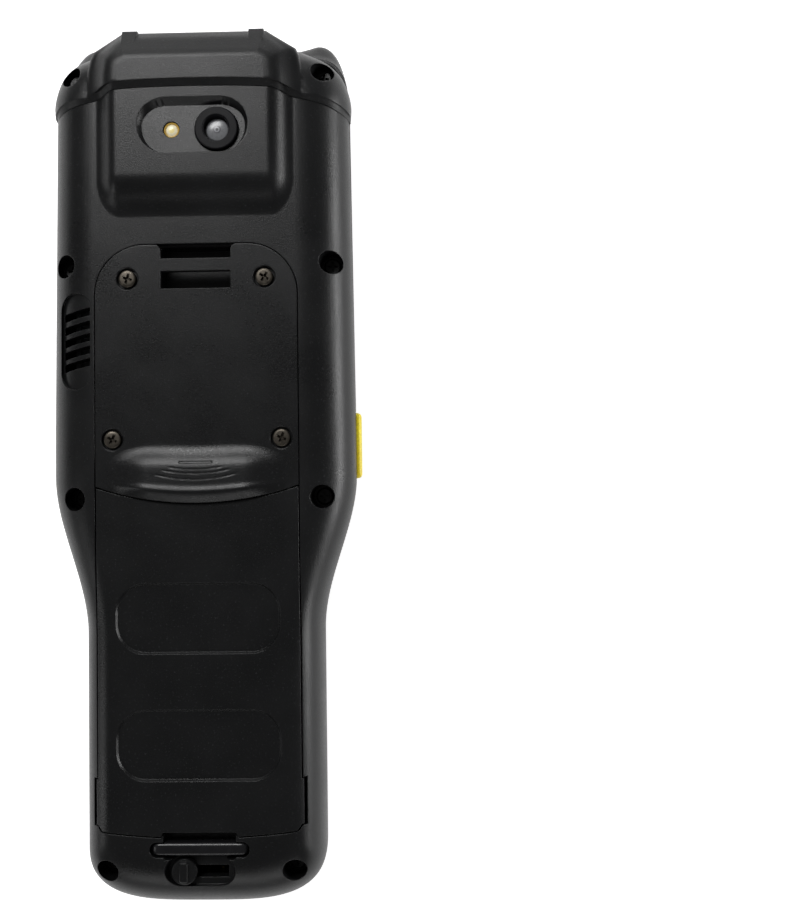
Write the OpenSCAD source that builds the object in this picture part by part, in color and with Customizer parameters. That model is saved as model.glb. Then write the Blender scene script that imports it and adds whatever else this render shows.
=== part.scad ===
// Portable barcode data terminal: a wide scan head with the display, and a narrow keypad grip.
// It lies on its display side, as photographed. +Z points out of the back, +Y towards the scan
// window, and +X to the side whose trigger shows. The origin is under the middle of the outline,
// on the surface that the front rim lies on.

/* [Body] */
// Length from the bottom end to the lip under the scan window
body_len = 213.8; // [212:0.2:216]
// Width of the head at its widest
head_w = 74.1; // [73.5:0.1:75]
// Width of the grip
grip_w = 57.7; // [57:0.1:58.5]
// Height of the seam between the front and rear housings
seam_z = 13; // [12.8:0.1:13.4]
// Height of the flat back above the surface
back_z = 25; // [24.8:0.1:25.4]
// Height of the rounded shoulder beside the back, measured across
shoulder_w = 12.6; // [12:0.1:13]
// Where the head starts to narrow
waist_top = -4; // [-5:0.5:-3]
// Where the grip reaches its full narrowness
waist_low = -42; // [-44:0.5:-40]
// Rounding of the front edge, measured across
front_round = 3.5; // [3:0.1:3.8]
// Thickness of the front and side walls
wall = 2.6; // [2.4:0.1:2.8]

/* [Head] */
// Height of the camera bump above the back
bump_h = 3.5; // [3:0.1:3.8]
// Height of the top cap above the back
cap_h = 4.5; // [4.2:0.1:5]
// Where the cap meets the rear housing, on the centre line
cap_seam_y = 88; // [87.5:0.1:88.5]
// Middle of the camera lens, across
lens_x = 5.8; // [5.5:0.1:6]
// Middle of the camera lens, along
lens_y = 77.6; // [77:0.1:78]
// Outer diameter of the black lens ring
lens_ring_d = 10.2; // [10:0.1:10.3]

/* [Cover plate] */
// Half width of the plate
plate_x = 24.2; // [24:0.1:24.4]
// Upper edge of the plate
plate_top = 51; // [50.5:0.1:51.2]
// Lowest point of the plate's curved lower edge
plate_low = -10.5; // [-10.8:0.1:-10.2]
// Thickness of the plate
plate_t = 2; // [1.8:0.1:2.2]
// Radius of the plate's upper corners
plate_r = 12; // [11:0.5:13]
// Height of the finger ridge above the plate
ridge_h = 2.3; // [1.5:0.1:2.6]
// Half width of the strap slot
strap_x = 8.35; // [8:0.05:8.5]

/* [Battery door] */
// Half width of the door
door_x = 24; // [23.8:0.1:24.1]
// Lowest point of the door's lower edge
door_low = -88.8; // [-89:0.1:-88.6]
// Thickness of the door
door_t = 2; // [1.8:0.1:2.1]
// Gap all round the door
door_gap = 0.3; // [0.25:0.05:0.35]

/* [Keys and triggers] */
// Distance between key columns
key_pitch_x = 15; // [14.5:0.1:15.2]
// Distance between number rows
key_pitch_y = 10; // [9.6:0.1:10.2]
// Length of the side trigger
trigger_len = 16.4; // [15:0.2:17]
// How far the side trigger stands out of the side
trigger_proud = 1.1; // [0.8:0.1:1.2]

/* [Fasteners] */
// Diameter of the deep holes over the housing screws
well_d = 5.6; // [5.4:0.1:5.8]
// Diameter of a screw head
head_d = 4.2; // [4:0.1:4.4]
// Diameter of a screw's shank
shank_d = 2; // [1.8:0.1:2.2]

/* [Hidden] */
$fn = 48;
EPS = 0.01;
FAR = 60;
FIT = 0.12;         // gap between two fixed pieces
KEY_GAP = 0.3;      // gap between a moving key or trigger and its hole

end_y = body_len / 2;
head_x = head_w / 2;
grip_x = grip_w / 2;
top_z = back_z + cap_h;
bump_z = back_z + bump_h;
shoulder_h = back_z - seam_z;
HEAD_TAPER = 0.0105;    // the head narrows by this much for each millimetre towards the window
END_START = -93;        // where the rounded bottom end begins
FRONT_SKIN = 3;         // thickness of the front wall, display ledge included
ROOF_T = 3.6;           // thickness of the back wall
ROOF_INSIDE = back_z - ROOF_T;
CAP_FROM = 80;          // the cap's outline is drawn from here and trimmed at its seam

// Screws: middle of each, as a pair on both sides
HOUSING_SCREWS = [[32, 46.6], [29.5, -9.4], [22.1, -97]];
CAP_SCREW = [30.4, 92.7];
PLATE_SCREWS = [[16.35, 42.9], [20.1, 4.65]];
SCREW_SEAT = 15;        // height of the seats of the housing screws
CAP_SEAT = 16;          // height of the seats of the cap screws
BOSS_R = 3.2;

// Cover plate: the lower edge is an arc through its two corners and its lowest point
PLATE_CORNER_Y = -6.5;
PLATE_SAG = PLATE_CORNER_Y - plate_low;
PLATE_EDGE_R = (plate_x * plate_x + PLATE_SAG * PLATE_SAG) / (2 * PLATE_SAG);
PLATE_EDGE_Y = plate_low + PLATE_EDGE_R;
plate_z = back_z - plate_t;
STRAP_SLOT = [40.4, 44.6];      // the slot over the strap pocket
STRAP_MOUTH = 47.6;             // the notch in the plate's edge begins here
STRAP_FLOOR = 18.3;

// Battery door: the lower edge is a flatter arc, with side tabs and a notch for the strap
DOOR_CORNER_Y = -87.2;
DOOR_SAG = DOOR_CORNER_Y - door_low;
DOOR_EDGE_R = (door_x * door_x + DOOR_SAG * DOOR_SAG) / (2 * DOOR_SAG);
DOOR_EDGE_Y = door_low + DOOR_EDGE_R;
DOOR_TAB_Y = [-86, -75.4];
DOOR_TAB_OUT = 0.9;
DOOR_NOTCH_X = 8.6;
DOOR_NOTCH_Y = -87.6;
DOOR_PADS = [-37.7, -67.4];
PAD_SIZE = [39, 16.7];
PAD_R = 7;
PAD_DEPTH = 0.6;
CATCH_Y = [-84.6, -82.8];        // the catch that the lock's arm passes over
DOOR_LUG_X = 17;                // middle of each tongue on the door's upper edge
BAY_X = 22.2;
BAY_Y = [-85.8, -12.2];
BAY_FLOOR = 8.5;
BAY_WALL = 1.2;
BAY_OUT_X = [-BAY_X - BAY_WALL, BAY_X + BAY_WALL];
BAY_OUT_Y = [BAY_Y[0] - BAY_WALL, BAY_Y[1] + BAY_WALL];

// Lock and strap bar at the bottom end
BAR_Y = -91.65;
BAR_R = 1.65;
BAR_X = 11.4;
BAR_Z = 23.2;
LOCK_Y = -97.5;
LOCK_HALF = 7.85;
LOCK_R = 3.5;
LOCK_FLOOR = 22;
LOCK_TRAVEL = 6.6;
KNOB_X = -3.9;
KNOB_R = 3.1;
ARM_Z = [17.3, 18.8];

// Keys: name, middle x, middle y, width, height, corner radius, colour
NUMBER_TOP = -48.5;
LAST_ROW = -89.4;
KEY_INK = "#2b2d30";
KEY_YELLOW = "#f2d012";
SIDE_KEYS = [
    ["key_menu", -key_pitch_x, -12.5, 12, 6.4, 2.4, KEY_INK],
    ["key_home", 0, -12.5, 12, 6.4, 2.4, KEY_INK],
    ["key_back", key_pitch_x, -12.5, 12, 6.4, 2.4, KEY_INK],
    ["key_up", 0, -20.6, 12, 4.6, 1.8, KEY_INK],
    ["key_left", -14.2, -29.5, 6.4, 12, 2.4, KEY_INK],
    ["key_scan", 0, -29.5, 17, 9.6, 4.7, KEY_YELLOW],
    ["key_right", 14.2, -29.5, 6.4, 12, 2.4, KEY_INK],
    ["key_down", 0, -38.4, 12, 4.6, 1.8, KEY_INK],
    ["key_clear", -key_pitch_x, LAST_ROW, 12.4, 7.4, 2.4, KEY_INK],
    ["key_power", 0, LAST_ROW, 12.4, 7.4, 3.6, "#a82820"],
    ["key_enter", key_pitch_x, LAST_ROW, 12.4, 7.4, 2.4, KEY_INK]];
NUMBER_NAMES = ["key_1", "key_2", "key_3", "key_4", "key_5", "key_6",
    "key_7", "key_8", "key_9", "key_star", "key_0", "key_point"];
NUMBER_KEYS = [for (i = [0 : 11]) [NUMBER_NAMES[i], (i % 3 - 1) * key_pitch_x,
    NUMBER_TOP - floor(i / 3) * key_pitch_y, 12.4, 7, 2.4, KEY_INK]];
KEYS = concat(SIDE_KEYS, NUMBER_KEYS);
KEY_FACE = 0.35;        // height of the keys' faces, above the surface the rim lies on
KEY_DECK = 0.8;         // height of the sunk deck around the keys
KEYPAD_X = [-22.6, 22.6];
KEYPAD_Y = [-93.3, -7.6];
FLANGE_T = 0.6;
FLANGE_OUT = 0.8;

// Display
GLASS = [62.4, 97.6];
GLASS_Y = 49.6;
GLASS_Z = [0.6, 1.7];
LCD = [57.4, 81];
LCD_Y = 47.6;

// Scan window, leaning back towards the cap
WINDOW = [28, 1.5, 17];
WINDOW_Y = 101.9;
WINDOW_Z = 14.4;
WINDOW_LEAN = 13;

// Side triggers
TRIGGER_Y = 3.05;
TRIGGER_Z = [6.7, 12];
TRIGGER_IN = 34.1;

// Speaker grille on the left shoulder
SPEAKER_X = [-34.2, -25.4];
SLOTS = [24, 26.95, 29.95, 32.95, 36.1];
SLOT_H = 1.9;

// ---- outlines ----------------------------------------------------------------------------

function mix(a, b, t) = a + (b - a) * t;
function ease(t) = let (s = min(1, max(0, t))) s * s * (3 - 2 * s);

// Half width of the body at the seam, for a place along it
function side_x(y) = y > waist_top
    ? head_x - HEAD_TAPER * max(0, y - 5)
    : mix(grip_x, head_x, ease((y - waist_low) / (waist_top - waist_low)));

WAIST_STEPS = 9;
side_stations = concat([6], [for (i = [0 : WAIST_STEPS])
    mix(waist_top, waist_low, i / WAIST_STEPS)]);
END_STEPS = 9;

// The rounded bottom end, from the right side to the middle, drawn in by d
function end_points(d) = let (start = END_START + 0.35 * d, deep = start + end_y - d)
    [for (i = [0 : END_STEPS]) let (a = 90 * i / END_STEPS)
        [(grip_x - d) * pow(cos(a), 0.565), start - deep * pow(sin(a), 0.8)]];

// Adds the left half to a right half; points first to last of the right half are repeated there
function mirrored(right, first, last) = concat(right, [for (i = [last : -1 : first])
    [-right[i][0], right[i][1]]]);
function both_halves(right) = mirrored(right, 0, len(right) - 2);   // ends on the middle line
function open_halves(right) = mirrored(right, 0, len(right) - 1);   // stays clear of it

// The rear outline drawn in by d, open to the head at y = far_y
function rear_ring(d, far_y) = both_halves(concat([[side_x(far_y) - d, far_y]],
    [for (y = side_stations) [side_x(y) - d, y]], end_points(d)));

// Right half of the head end of the front housing: a corner ear and the nose.
// The third number is how far the point draws back at the seam.
NOSE = [[13.5, end_y, 1.6], [16.4, end_y - 0.7, 1.6], [19, 104.5, 2.5],
    [22.4, 102.3, 3.4], [25.4, 103.4, 4.7], [28.7, 104.4, 6], [31.6, 103.2, 5.4],
    [33.8, 100.4, 4], [35.4, 96, 2], [36.2, 90, 0.4], [36.3, 84, 0]];

NOSE_EAR = [3, 7];      // the first and last point of the corner ear
function front_ring(back) = both_halves(concat([for (p = NOSE) [p[0], p[1] - back * p[2]]],
    [for (y = side_stations) [side_x(y), y]], end_points(0)));

// Moves each point of a clockwise outline inwards by d, along the normal there
function inset(points, d) = let (n = len(points)) [for (i = [0 : n - 1])
    let (run = points[(i + 1) % n] - points[(i + n - 1) % n], along = run / norm(run))
    points[i] + d * [along[1], -along[0]]];

// Outline of the cap: corner part, then the raised nose at three heights
CAP_EDGE = [[19, 98.6], [24.7, 98.4], [28.2, 97.9], [31.6, 97.2],
    [34.6, 94.4], [36.2, 90.6], [36.9, 87], [36.6, 84], [36.4, CAP_FROM]];
function cap_ring(d) = open_halves([for (p = CAP_EDGE)
    [p[0] * (1 - d / head_x), CAP_FROM + (p[1] - CAP_FROM) * (1 - 0.55 * d / 18)]]);
function nose_ring(x, y_side, y_tip) = open_halves([[x - 3.8, y_tip], [x - 0.6, y_side],
    [x, CAP_FROM - 2]]);

// Plan of the seam between the cap and the rear housing, from the middle outwards
CAP_SEAM = [[0, 0], [18.5, 0], [21.2, -0.5], [23.6, -1.5], [26.5, -2], [31, -2.8],
    [34.5, -4], [40, -6.2]];
function cap_seam(shift) = both_halves([for (i = [len(CAP_SEAM) - 1 : -1 : 0])
    [CAP_SEAM[i][0], cap_seam_y + CAP_SEAM[i][1] + shift]]);

// Corner points of a rounded rectangle about its middle
CORNER_STEPS = 4;
function rounded(w, h, r) = [for (q = [0 : 3]) for (i = [0 : CORNER_STEPS])
    let (a = 90 * q + 90 * i / CORNER_STEPS)
    [((q == 0 || q == 3) ? 1 : -1) * (w / 2 - r) + r * cos(a),
     (q < 2 ? 1 : -1) * (h / 2 - r) + r * sin(a)]];

// ---- building blocks ---------------------------------------------------------------------

// Faces across a ring of n points: strips from each right-hand point to its mirror image, and a
// face of its own over the ear that stands up between two points, if there is one
function strips(n, ear) = concat(
    [for (i = [0 : floor(n / 2) - 1]) let (next = i == ear[0] ? ear[1] : i + 1, j = n - 1 - next)
        if ((i <= ear[0] || i >= ear[1]) && next <= j)
            concat([i, next], next < j ? [j, n - 1 - i] : [n - 1 - i])],
    ear[0] == ear[1] ? [] : [concat([ear[1]], [for (i = [ear[0] : ear[1] - 1]) i]),
        [for (i = [ear[1] : -1 : ear[0]]) n - 1 - i]]);
function turned(list) = [for (i = [len(list) - 1 : -1 : 0]) list[i]];

// A solid through clockwise rings, given as [height, points] from the lowest up. An ear is given
// by the first and last of its points.
module loft(rings, ear = [-1, -1]) {
    n = len(rings[0][1]);
    m = len(rings);
    polyhedron(
        points = [for (ring = rings) for (p = ring[1]) [p[0], p[1], ring[0]]],
        faces = concat(
            [for (s = strips(n, ear)) turned(s)],
            [for (s = strips(n, ear)) [for (i = s) (m - 1) * n + i]],
            [for (k = [0 : m - 2]) for (i = [0 : n - 1]) let (j = (i + 1) % n)
                each [[k * n + j, (k + 1) * n + j, (k + 1) * n + i],
                      [k * n + j, (k + 1) * n + i, k * n + i]]]));
}

module slab(points, z0, z1) {
    translate([0, 0, z0]) linear_extrude(z1 - z0) polygon(points);
}

module box(x, y, z) {
    translate([x[0], y[0], z[0]]) cube([x[1] - x[0], y[1] - y[0], z[1] - z[0]]);
}

module pin(at, r, z0, z1) {
    translate([at[0], at[1], z0]) cylinder(r = r, h = z1 - z0);
}

module both_sides() {
    children();
    mirror([1, 0, 0]) children();
}

// The outside of the rear half: upright at the seam and rolling over to the flat back
SHOULDER_STEPS = 8;
module rear_body() {
    loft([for (k = [0 : SHOULDER_STEPS]) let (a = 90 * k / SHOULDER_STEPS)
        [seam_z + shoulder_h * sin(a), rear_ring(shoulder_w * (1 - cos(a)),
            94 - 4 * (1 - cos(a)))]]);
}

// The hollow of the rear half, stepped under the rounded shoulder
HOLLOW_STEPS = [[wall, 17], [wall + 3.4, 19.6], [wall + 7.4, ROOF_INSIDE]];
module rear_hollow() {
    for (i = [0 : 2]) slab(rear_ring(HOLLOW_STEPS[i][0], 91 + i),
        i == 0 ? seam_z - 1 : HOLLOW_STEPS[i - 1][1] - 1, HOLLOW_STEPS[i][1]);
}

// The space under the battery door: the grip's cross-section, lowered by t, along the door
module under_door(t) {
    lift = 0.4;
    steps = 7;
    arc = [for (i = [0 : steps]) let (a = 90 * (lift + (1 - lift) * i / steps))
        [grip_x - t - (shoulder_w - t / 2) * (1 - cos(a)), seam_z + (shoulder_h - t) * sin(a)]];
    translate([0, 5, 0]) rotate([90, 0, 0]) linear_extrude(100)
        polygon(concat([[FAR, -5], [FAR, arc[0][1]]], arc,
            [for (i = [steps : -1 : 0]) [-arc[i][0], arc[i][1]]], [[-FAR, arc[0][1]], [-FAR, -5]]));
}

// A screw with a round head, a cross recess and its shank pointing down
module screw(at, seat, length) {
    head_t = 1.6;
    recess = [2.4, 0.55, 0.9];
    translate([at[0], at[1], seat]) difference() {
        union() {
            rotate_extrude() polygon([[0, 0], [head_d / 2, 0], [head_d / 2, head_t * 0.7],
                [head_d / 2 - 0.4, head_t], [0, head_t]]);
            translate([0, 0, -length]) cylinder(d = shank_d, h = length + EPS);
        }
        for (turn = [0, 90]) rotate([0, 0, turn])
            translate([-recess[0] / 2, -recess[1] / 2, head_t - recess[2]]) cube([recess[0],
                recess[1], recess[2] + EPS]);
    }
}

// Plan of the cover plate, grown by g
module plate_plan(g) {
    intersection() {
        union() {
            translate([-plate_x - g, -20]) square([2 * (plate_x + g), 20 + plate_top - plate_r]);
            translate([-plate_x + plate_r, 0])
                square([2 * (plate_x - plate_r), plate_top + g]);
            for (s = [-1, 1]) translate([s * (plate_x - plate_r), plate_top - plate_r])
                circle(plate_r + g);
        }
        translate([0, PLATE_EDGE_Y]) circle(PLATE_EDGE_R + g, $fn = 180);
    }
}

// Plan of the battery door, grown by g
module door_plan(g) {
    difference() {
        intersection() {
            union() {
                translate([-door_x - g, -100]) square([2 * (door_x + g), 100 + PLATE_CORNER_Y]);
                translate([-door_x - DOOR_TAB_OUT - g, DOOR_TAB_Y[0] - g])
                    square([2 * (door_x + DOOR_TAB_OUT + g), DOOR_TAB_Y[1] - DOOR_TAB_Y[0]
                        + 2 * g]);
            }
            translate([0, DOOR_EDGE_Y]) circle(DOOR_EDGE_R + g, $fn = 180);
        }
        translate([0, PLATE_EDGE_Y]) circle(PLATE_EDGE_R + door_gap - g, $fn = 180);
        translate([-DOOR_NOTCH_X + g, -100]) square([2 * (DOOR_NOTCH_X - g), 100 + DOOR_NOTCH_Y
            - g]);
    }
}

module camera_bump() {
    mid = 78;
    hull() {
        slab([for (p = rounded(46.6, 40.2, 5)) p + [0, mid]], back_z - 1, back_z - 0.2);
        slab([for (p = rounded(40, 24, 3)) p + [0, mid]], bump_z - 0.1, bump_z);
    }
}

// ---- housings ----------------------------------------------------------------------------

module rear_housing() {
    color("#26282a") difference() {
        union() {
            rear_body();
            camera_bump();
            // battery bay, reaching down into the front half
            box(BAY_OUT_X, BAY_OUT_Y, [BAY_FLOOR - BAY_WALL, seam_z + 0.5]);
        }
        // the hollow, less the bosses and the walls of the bay, strap pocket and lock recess
        difference() {
            rear_hollow();
            both_sides() {
                for (s = HOUSING_SCREWS) pin(s, 4.2, 0, FAR);
                for (s = PLATE_SCREWS) pin(s, 2.8, 17, FAR);
            }
            box([-strap_x - 1.5, strap_x + 1.5], [STRAP_SLOT[0] - 1.5, plate_top + 1.5],
                [STRAP_FLOOR - 1.2, FAR]);
            box([-14, 14], [-112, -87.3], [19.3, FAR]);
            box(BAY_OUT_X, BAY_OUT_Y, [0, FAR]);
        }
        slab(concat(cap_seam(0), [[-40, 130], [40, 130]]), seam_z - 2, FAR);
        // hollow under the camera bump, and the recess in its face
        box([-15, 15], [67, 95], [seam_z, bump_z - 3]);
        translate([0.2, 78.6, 0]) slab(rounded(26, 13, 6.4), bump_z - 1.4, FAR);
        pin([lens_x, lens_y], lens_ring_d / 2 + FIT, bump_z - 6, FAR);
        pin([-5, 77.7], 2, bump_z - 6, FAR);
        // battery bay and the seat of its door
        box([-BAY_X, BAY_X], BAY_Y, [BAY_FLOOR, back_z + 1]);
        difference() {
            translate([0, 0, seam_z - 1]) linear_extrude(FAR) door_plan(door_gap);
            under_door(door_t + 0.3);
        }
        // room for the tongues of the door and the arm of the lock
        both_sides() box([DOOR_LUG_X - 3.6, DOOR_LUG_X + 3.6], [-13, -3.6],
            [20.2, plate_z + 0.5]);
        box([-5.2, 5.6], [BAY_Y[0] - BAY_WALL - 1, BAY_Y[0] + 1], [16.9, 19.2]);
        // seat of the cover plate and the strap pocket
        translate([0, 0, plate_z]) linear_extrude(FAR) plate_plan(FIT);
        box([-strap_x, strap_x], [STRAP_SLOT[0], plate_top - 0.4], [STRAP_FLOOR, FAR]);
        // strap bar, lock and their pockets
        box([-DOOR_NOTCH_X, DOOR_NOTCH_X], [BAR_Y - 2.4, DOOR_NOTCH_Y + door_gap],
            [20.5, FAR]);
        box([-BAR_X - FIT, BAR_X + FIT], [BAR_Y - BAR_R - FIT, BAR_Y + BAR_R + FIT],
            [BAR_Z - BAR_R - FIT, FAR]);
        translate([0, LOCK_Y, 0]) slab(rounded(2 * LOCK_HALF, 2 * LOCK_R, LOCK_R - 0.1),
            LOCK_FLOOR, FAR);
        box([KNOB_X - 1.4, KNOB_X + LOCK_TRAVEL + 1.4], [LOCK_Y - 1.4, LOCK_Y + 1.4],
            [19, LOCK_FLOOR + EPS]);
        // screw holes
        both_sides() {
            for (s = HOUSING_SCREWS) {
                pin(s, well_d / 2, SCREW_SEAT, FAR);
                pin(s, shank_d / 2 + 0.3, seam_z - 1, SCREW_SEAT + EPS);
            }
            for (s = PLATE_SCREWS) pin(s, shank_d / 2 + 0.05, 17 - EPS, FAR);
        }
        // speaker grille
        for (y = SLOTS) box([SPEAKER_X[0] + 0.8, SPEAKER_X[1]], [y - SLOT_H / 2, y + SLOT_H / 2],
            [seam_z + 3, FAR]);
    }
}

module front_housing() {
    full = front_ring(0);
    color("#2a2c2e") difference() {
        union() {
            difference() {
                loft([for (k = [6 : -1 : 0]) let (a = 90 * k / 6, z = seam_z * (1 - sin(a)))
                    [z, inset(front_ring(ease((z - 7) / (seam_z - 7))),
                        front_round * (1 - cos(a)))]], NOSE_EAR);
                slab(inset(front_ring(1), wall), FRONT_SKIN, seam_z + 1);
            }
            both_sides() for (s = concat(HOUSING_SCREWS, [CAP_SCREW]))
                pin(s, BOSS_R, FRONT_SKIN - 0.5, seam_z - FIT);
        }
        both_sides() for (s = concat(HOUSING_SCREWS, [CAP_SCREW]))
            pin(s, shank_d / 2 + 0.05, FRONT_SKIN + 1, seam_z + 1);
        // seat and opening of the display
        translate([0, GLASS_Y, 0]) slab(rounded(GLASS[0] + 2 * FIT, GLASS[1] + 2 * FIT, 5),
            -1, GLASS_Z[1] + 0.1);
        translate([0, LCD_Y, 0]) slab(rounded(LCD[0] + 0.6, LCD[1] + 0.6, 1), -1,
            FRONT_SKIN + EPS);
        // sunk key deck and the key holes
        translate([0, -52.8, 0]) slab(rounded(46.4, 94, 8), -1, KEY_DECK);
        for (k = KEYS) translate([k[1], k[2], 0])
            slab(rounded(k[3] + 2 * KEY_GAP, k[4] + 2 * KEY_GAP, k[5] + KEY_GAP), -1,
                FRONT_SKIN + EPS);
        both_sides() box([TRIGGER_IN - 1, FAR], [TRIGGER_Y - trigger_len / 2 - KEY_GAP,
            TRIGGER_Y + trigger_len / 2 + KEY_GAP], [TRIGGER_Z[0] - KEY_GAP,
            TRIGGER_Z[1] + KEY_GAP]);
        window_block(FIT);
        // the beam's way out, the earpiece slot and the charging contacts
        box([-12.4, 12.4], [96, end_y + 5], [7.2, seam_z + 1]);
        box([-7, 7], [100.2, 101.6], [-1, FRONT_SKIN + EPS]);
        for (x = [-6, -2, 2, 6]) translate([x, -end_y - 1, 6]) rotate([-90, 0, 0])
            cylinder(r = 1.1, h = 5);
        // groove of the gasket
        gasket_ring(seam_z + 1);
    }
}

// The gasket's ring in the front housing's edge, open under the scan window
module gasket_ring(z1) {
    difference() {
        slab(inset(front_ring(1), 0.8), seam_z - 0.5, z1);
        slab(inset(front_ring(1), 1.7), seam_z - 1, z1 + 1);
        box([-20, 20], [98, end_y + 1], [seam_z - 2, z1 + 1]);
    }
}

module housing_gasket() {
    color("#141414") gasket_ring(seam_z);
}

module top_cap() {
    corner_top = back_z + 0.4;
    color("#2a2c2e") difference() {
        union() {
            loft([for (k = [0 : 6]) let (a = 90 * k / 6)
                [seam_z + (corner_top - seam_z) * sin(a), cap_ring(11.5 * (1 - cos(a)))]]);
            loft([[seam_z - 2, nose_ring(20.4, 99.4, 105.6)], [back_z + 2, nose_ring(20.9, 98.8,
                101.4)], [top_z, nose_ring(19.6, 95.6, 96.8)]]);
            // the two horns beside the window's lip
            both_sides() hull() {
                box([13.4, 16.6], [99, 101.6], [20, back_z + 2.2]);
                box([13.8, 16], [99, 102.4], [19, back_z + 1.6]);
            }
        }
        box([-FAR, FAR], [60, 120], [seam_z - 5, seam_z + FIT]);
        slab(concat(cap_seam(FIT), [[-FAR, 60], [FAR, 60]]), seam_z - 1, FAR);
        // hollow for the scan engine
        box([-16.5, 16.5], [70, 97.2], [seam_z - 1, back_z + 1.8]);
        box([-25, 25], [70, 93], [seam_z - 1, 21]);
        window_block(FIT);
        box([-12.4, 12.4], [96, end_y + 5], [seam_z - 1, 21.2]);
        both_sides() {
            pin(CAP_SCREW, well_d / 2 - 0.1, CAP_SEAT, FAR);
            pin(CAP_SCREW, shank_d / 2 + 0.3, seam_z - 1, CAP_SEAT + EPS);
        }
    }
}

// ---- scanning, camera and sound ----------------------------------------------------------

module window_block(grow) {
    translate([0, WINDOW_Y, WINDOW_Z]) rotate([WINDOW_LEAN, 0, 0])
        translate([-WINDOW[0] / 2 - grow, -WINDOW[1] / 2 - grow, -WINDOW[2] / 2 - grow])
            cube([WINDOW[0] + 2 * grow, WINDOW[1] + 2 * grow, WINDOW[2] + 2 * grow]);
}

module scan_window() {
    color("#3a0c10") window_block(0);
}

module scan_engine() {
    color("#4a4d50") {
        difference() {
            box([-11, 11], [82.5, 96], [7.8, 20.4]);
            box([-8, 8], [94, 97], [9.4, 18.8]);
        }
        translate([0, 94 - EPS, 14]) rotate([-90, 0, 0]) cylinder(r = 2.6, h = 1.4);
    }
}

module camera_ring() {
    r = lens_ring_d / 2;
    color("#0d0d0e") translate([lens_x, lens_y, bump_z]) rotate_extrude()
        polygon([[r, -5.4], [r, -0.5], [r - 0.4, -0.1], [3.4, -0.1], [2.9, -1.6], [2.9, -5.4]]);
}

module camera_lens() {
    color("#5c6064") translate([lens_x, lens_y, bump_z]) rotate_extrude()
        polygon([[0, -3.4], [2.8, -3.4], [2.8, -2.2], [2.0, -1.8], [0, -1.6]]);
}

module camera_module() {
    color("#202226") {
        box([lens_x - 4.4, lens_x + 4.4], [lens_y - 4.4, lens_y + 4.4], [17, 20.6]);
        pin([lens_x, lens_y], 2.7, 20.6 - EPS, bump_z - 3.6);
    }
}

module flash_led() {
    color("#e8c860") {
        box([-6.3, -3.7], [76.4, 79], [bump_z - 4.4, bump_z - 3.2]);
        pin([-5, 77.7], 1.2, bump_z - 3.2 - EPS, bump_z - 2.1);
    }
    color("#3c6a44") box([-11, -1.6], [73.6, 81.8], [20.6, 21.3]);
    color("#e8c860") box([-5.6, -4.4], [77.1, 78.3], [21.3 - EPS, bump_z - 4.4 + EPS]);
}

module nfc_antenna() {
    color("#8a5a34") difference() {
        box([-14, 14], [54.2, 64.8], [19.4, 20.2]);
        box([-11, 11], [56.8, 62.2], [19, 21]);
    }
}

module speaker() {
    color("#1c1e20") difference() {
        box([-30.6, -21], [19.5, 37.9], [15, 18.6]);
        box([-29.4, -22.2], [21, 36.4], [18, 19]);
    }
}

module earpiece() {
    color("#1c1e20") box([-8.5, 8.5], [99.4, 102.2], [FRONT_SKIN + 0.1, FRONT_SKIN + 2]);
}

// ---- cover plate and screws --------------------------------------------------------------

// Height field of the finger ridge: an arc that rises from the lower edge and fades upwards
RIDGE_X = 22;
RIDGE_LONG = 10;
RIDGE_U = 20;
RIDGE_V = 6;
function edge_y(x) = PLATE_EDGE_Y - sqrt(PLATE_EDGE_R * PLATE_EDGE_R - x * x);
function ridge_point(i, j) = let (u = 2 * i / RIDGE_U - 1, v = j / RIDGE_V, x = RIDGE_X * u,
    swell = pow(max(0, 1 - u * u), 0.9))
    [x, edge_y(x) + 0.05 + v * RIDGE_LONG * (0.35 + 0.65 * swell),
     back_z + ridge_h * swell * (v < 0.36 ? ease(v / 0.36) : 1 - ease((v - 0.36) / 0.64))];

module finger_ridge() {
    n = RIDGE_V + 1;
    count = (RIDGE_U + 1) * n;
    floor_z = back_z - 0.8;
    top = [for (i = [0 : RIDGE_U]) for (j = [0 : RIDGE_V]) ridge_point(i, j)];
    low = [for (p = top) [p[0], p[1], floor_z]];
    function at(i, j) = i * n + j;
    polyhedron(points = concat(top, low), faces = concat(
        [for (i = [0 : RIDGE_U - 1]) for (j = [0 : RIDGE_V - 1])
            each [[at(i, j), at(i, j + 1), at(i + 1, j + 1)],
                  [at(i, j), at(i + 1, j + 1), at(i + 1, j)]]],
        [for (i = [0 : RIDGE_U - 1]) for (j = [0 : RIDGE_V - 1])
            each [[count + at(i, j), count + at(i + 1, j + 1), count + at(i, j + 1)],
                  [count + at(i, j), count + at(i + 1, j), count + at(i + 1, j + 1)]]],
        [for (i = [0 : RIDGE_U - 1])
            each [[at(i, 0), at(i + 1, 0), count + at(i + 1, 0)],
                  [at(i, 0), count + at(i + 1, 0), count + at(i, 0)]]],
        [for (i = [0 : RIDGE_U - 1])
            each [[at(i, RIDGE_V), count + at(i + 1, RIDGE_V), at(i + 1, RIDGE_V)],
                  [at(i, RIDGE_V), count + at(i, RIDGE_V), count + at(i + 1, RIDGE_V)]]],
        [for (j = [0 : RIDGE_V - 1])
            each [[at(0, j), count + at(0, j + 1), at(0, j + 1)],
                  [at(0, j), count + at(0, j), count + at(0, j + 1)]]],
        [for (j = [0 : RIDGE_V - 1])
            each [[at(RIDGE_U, j), at(RIDGE_U, j + 1), count + at(RIDGE_U, j + 1)],
                  [at(RIDGE_U, j), count + at(RIDGE_U, j + 1), count + at(RIDGE_U, j)]]]));
}

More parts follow.
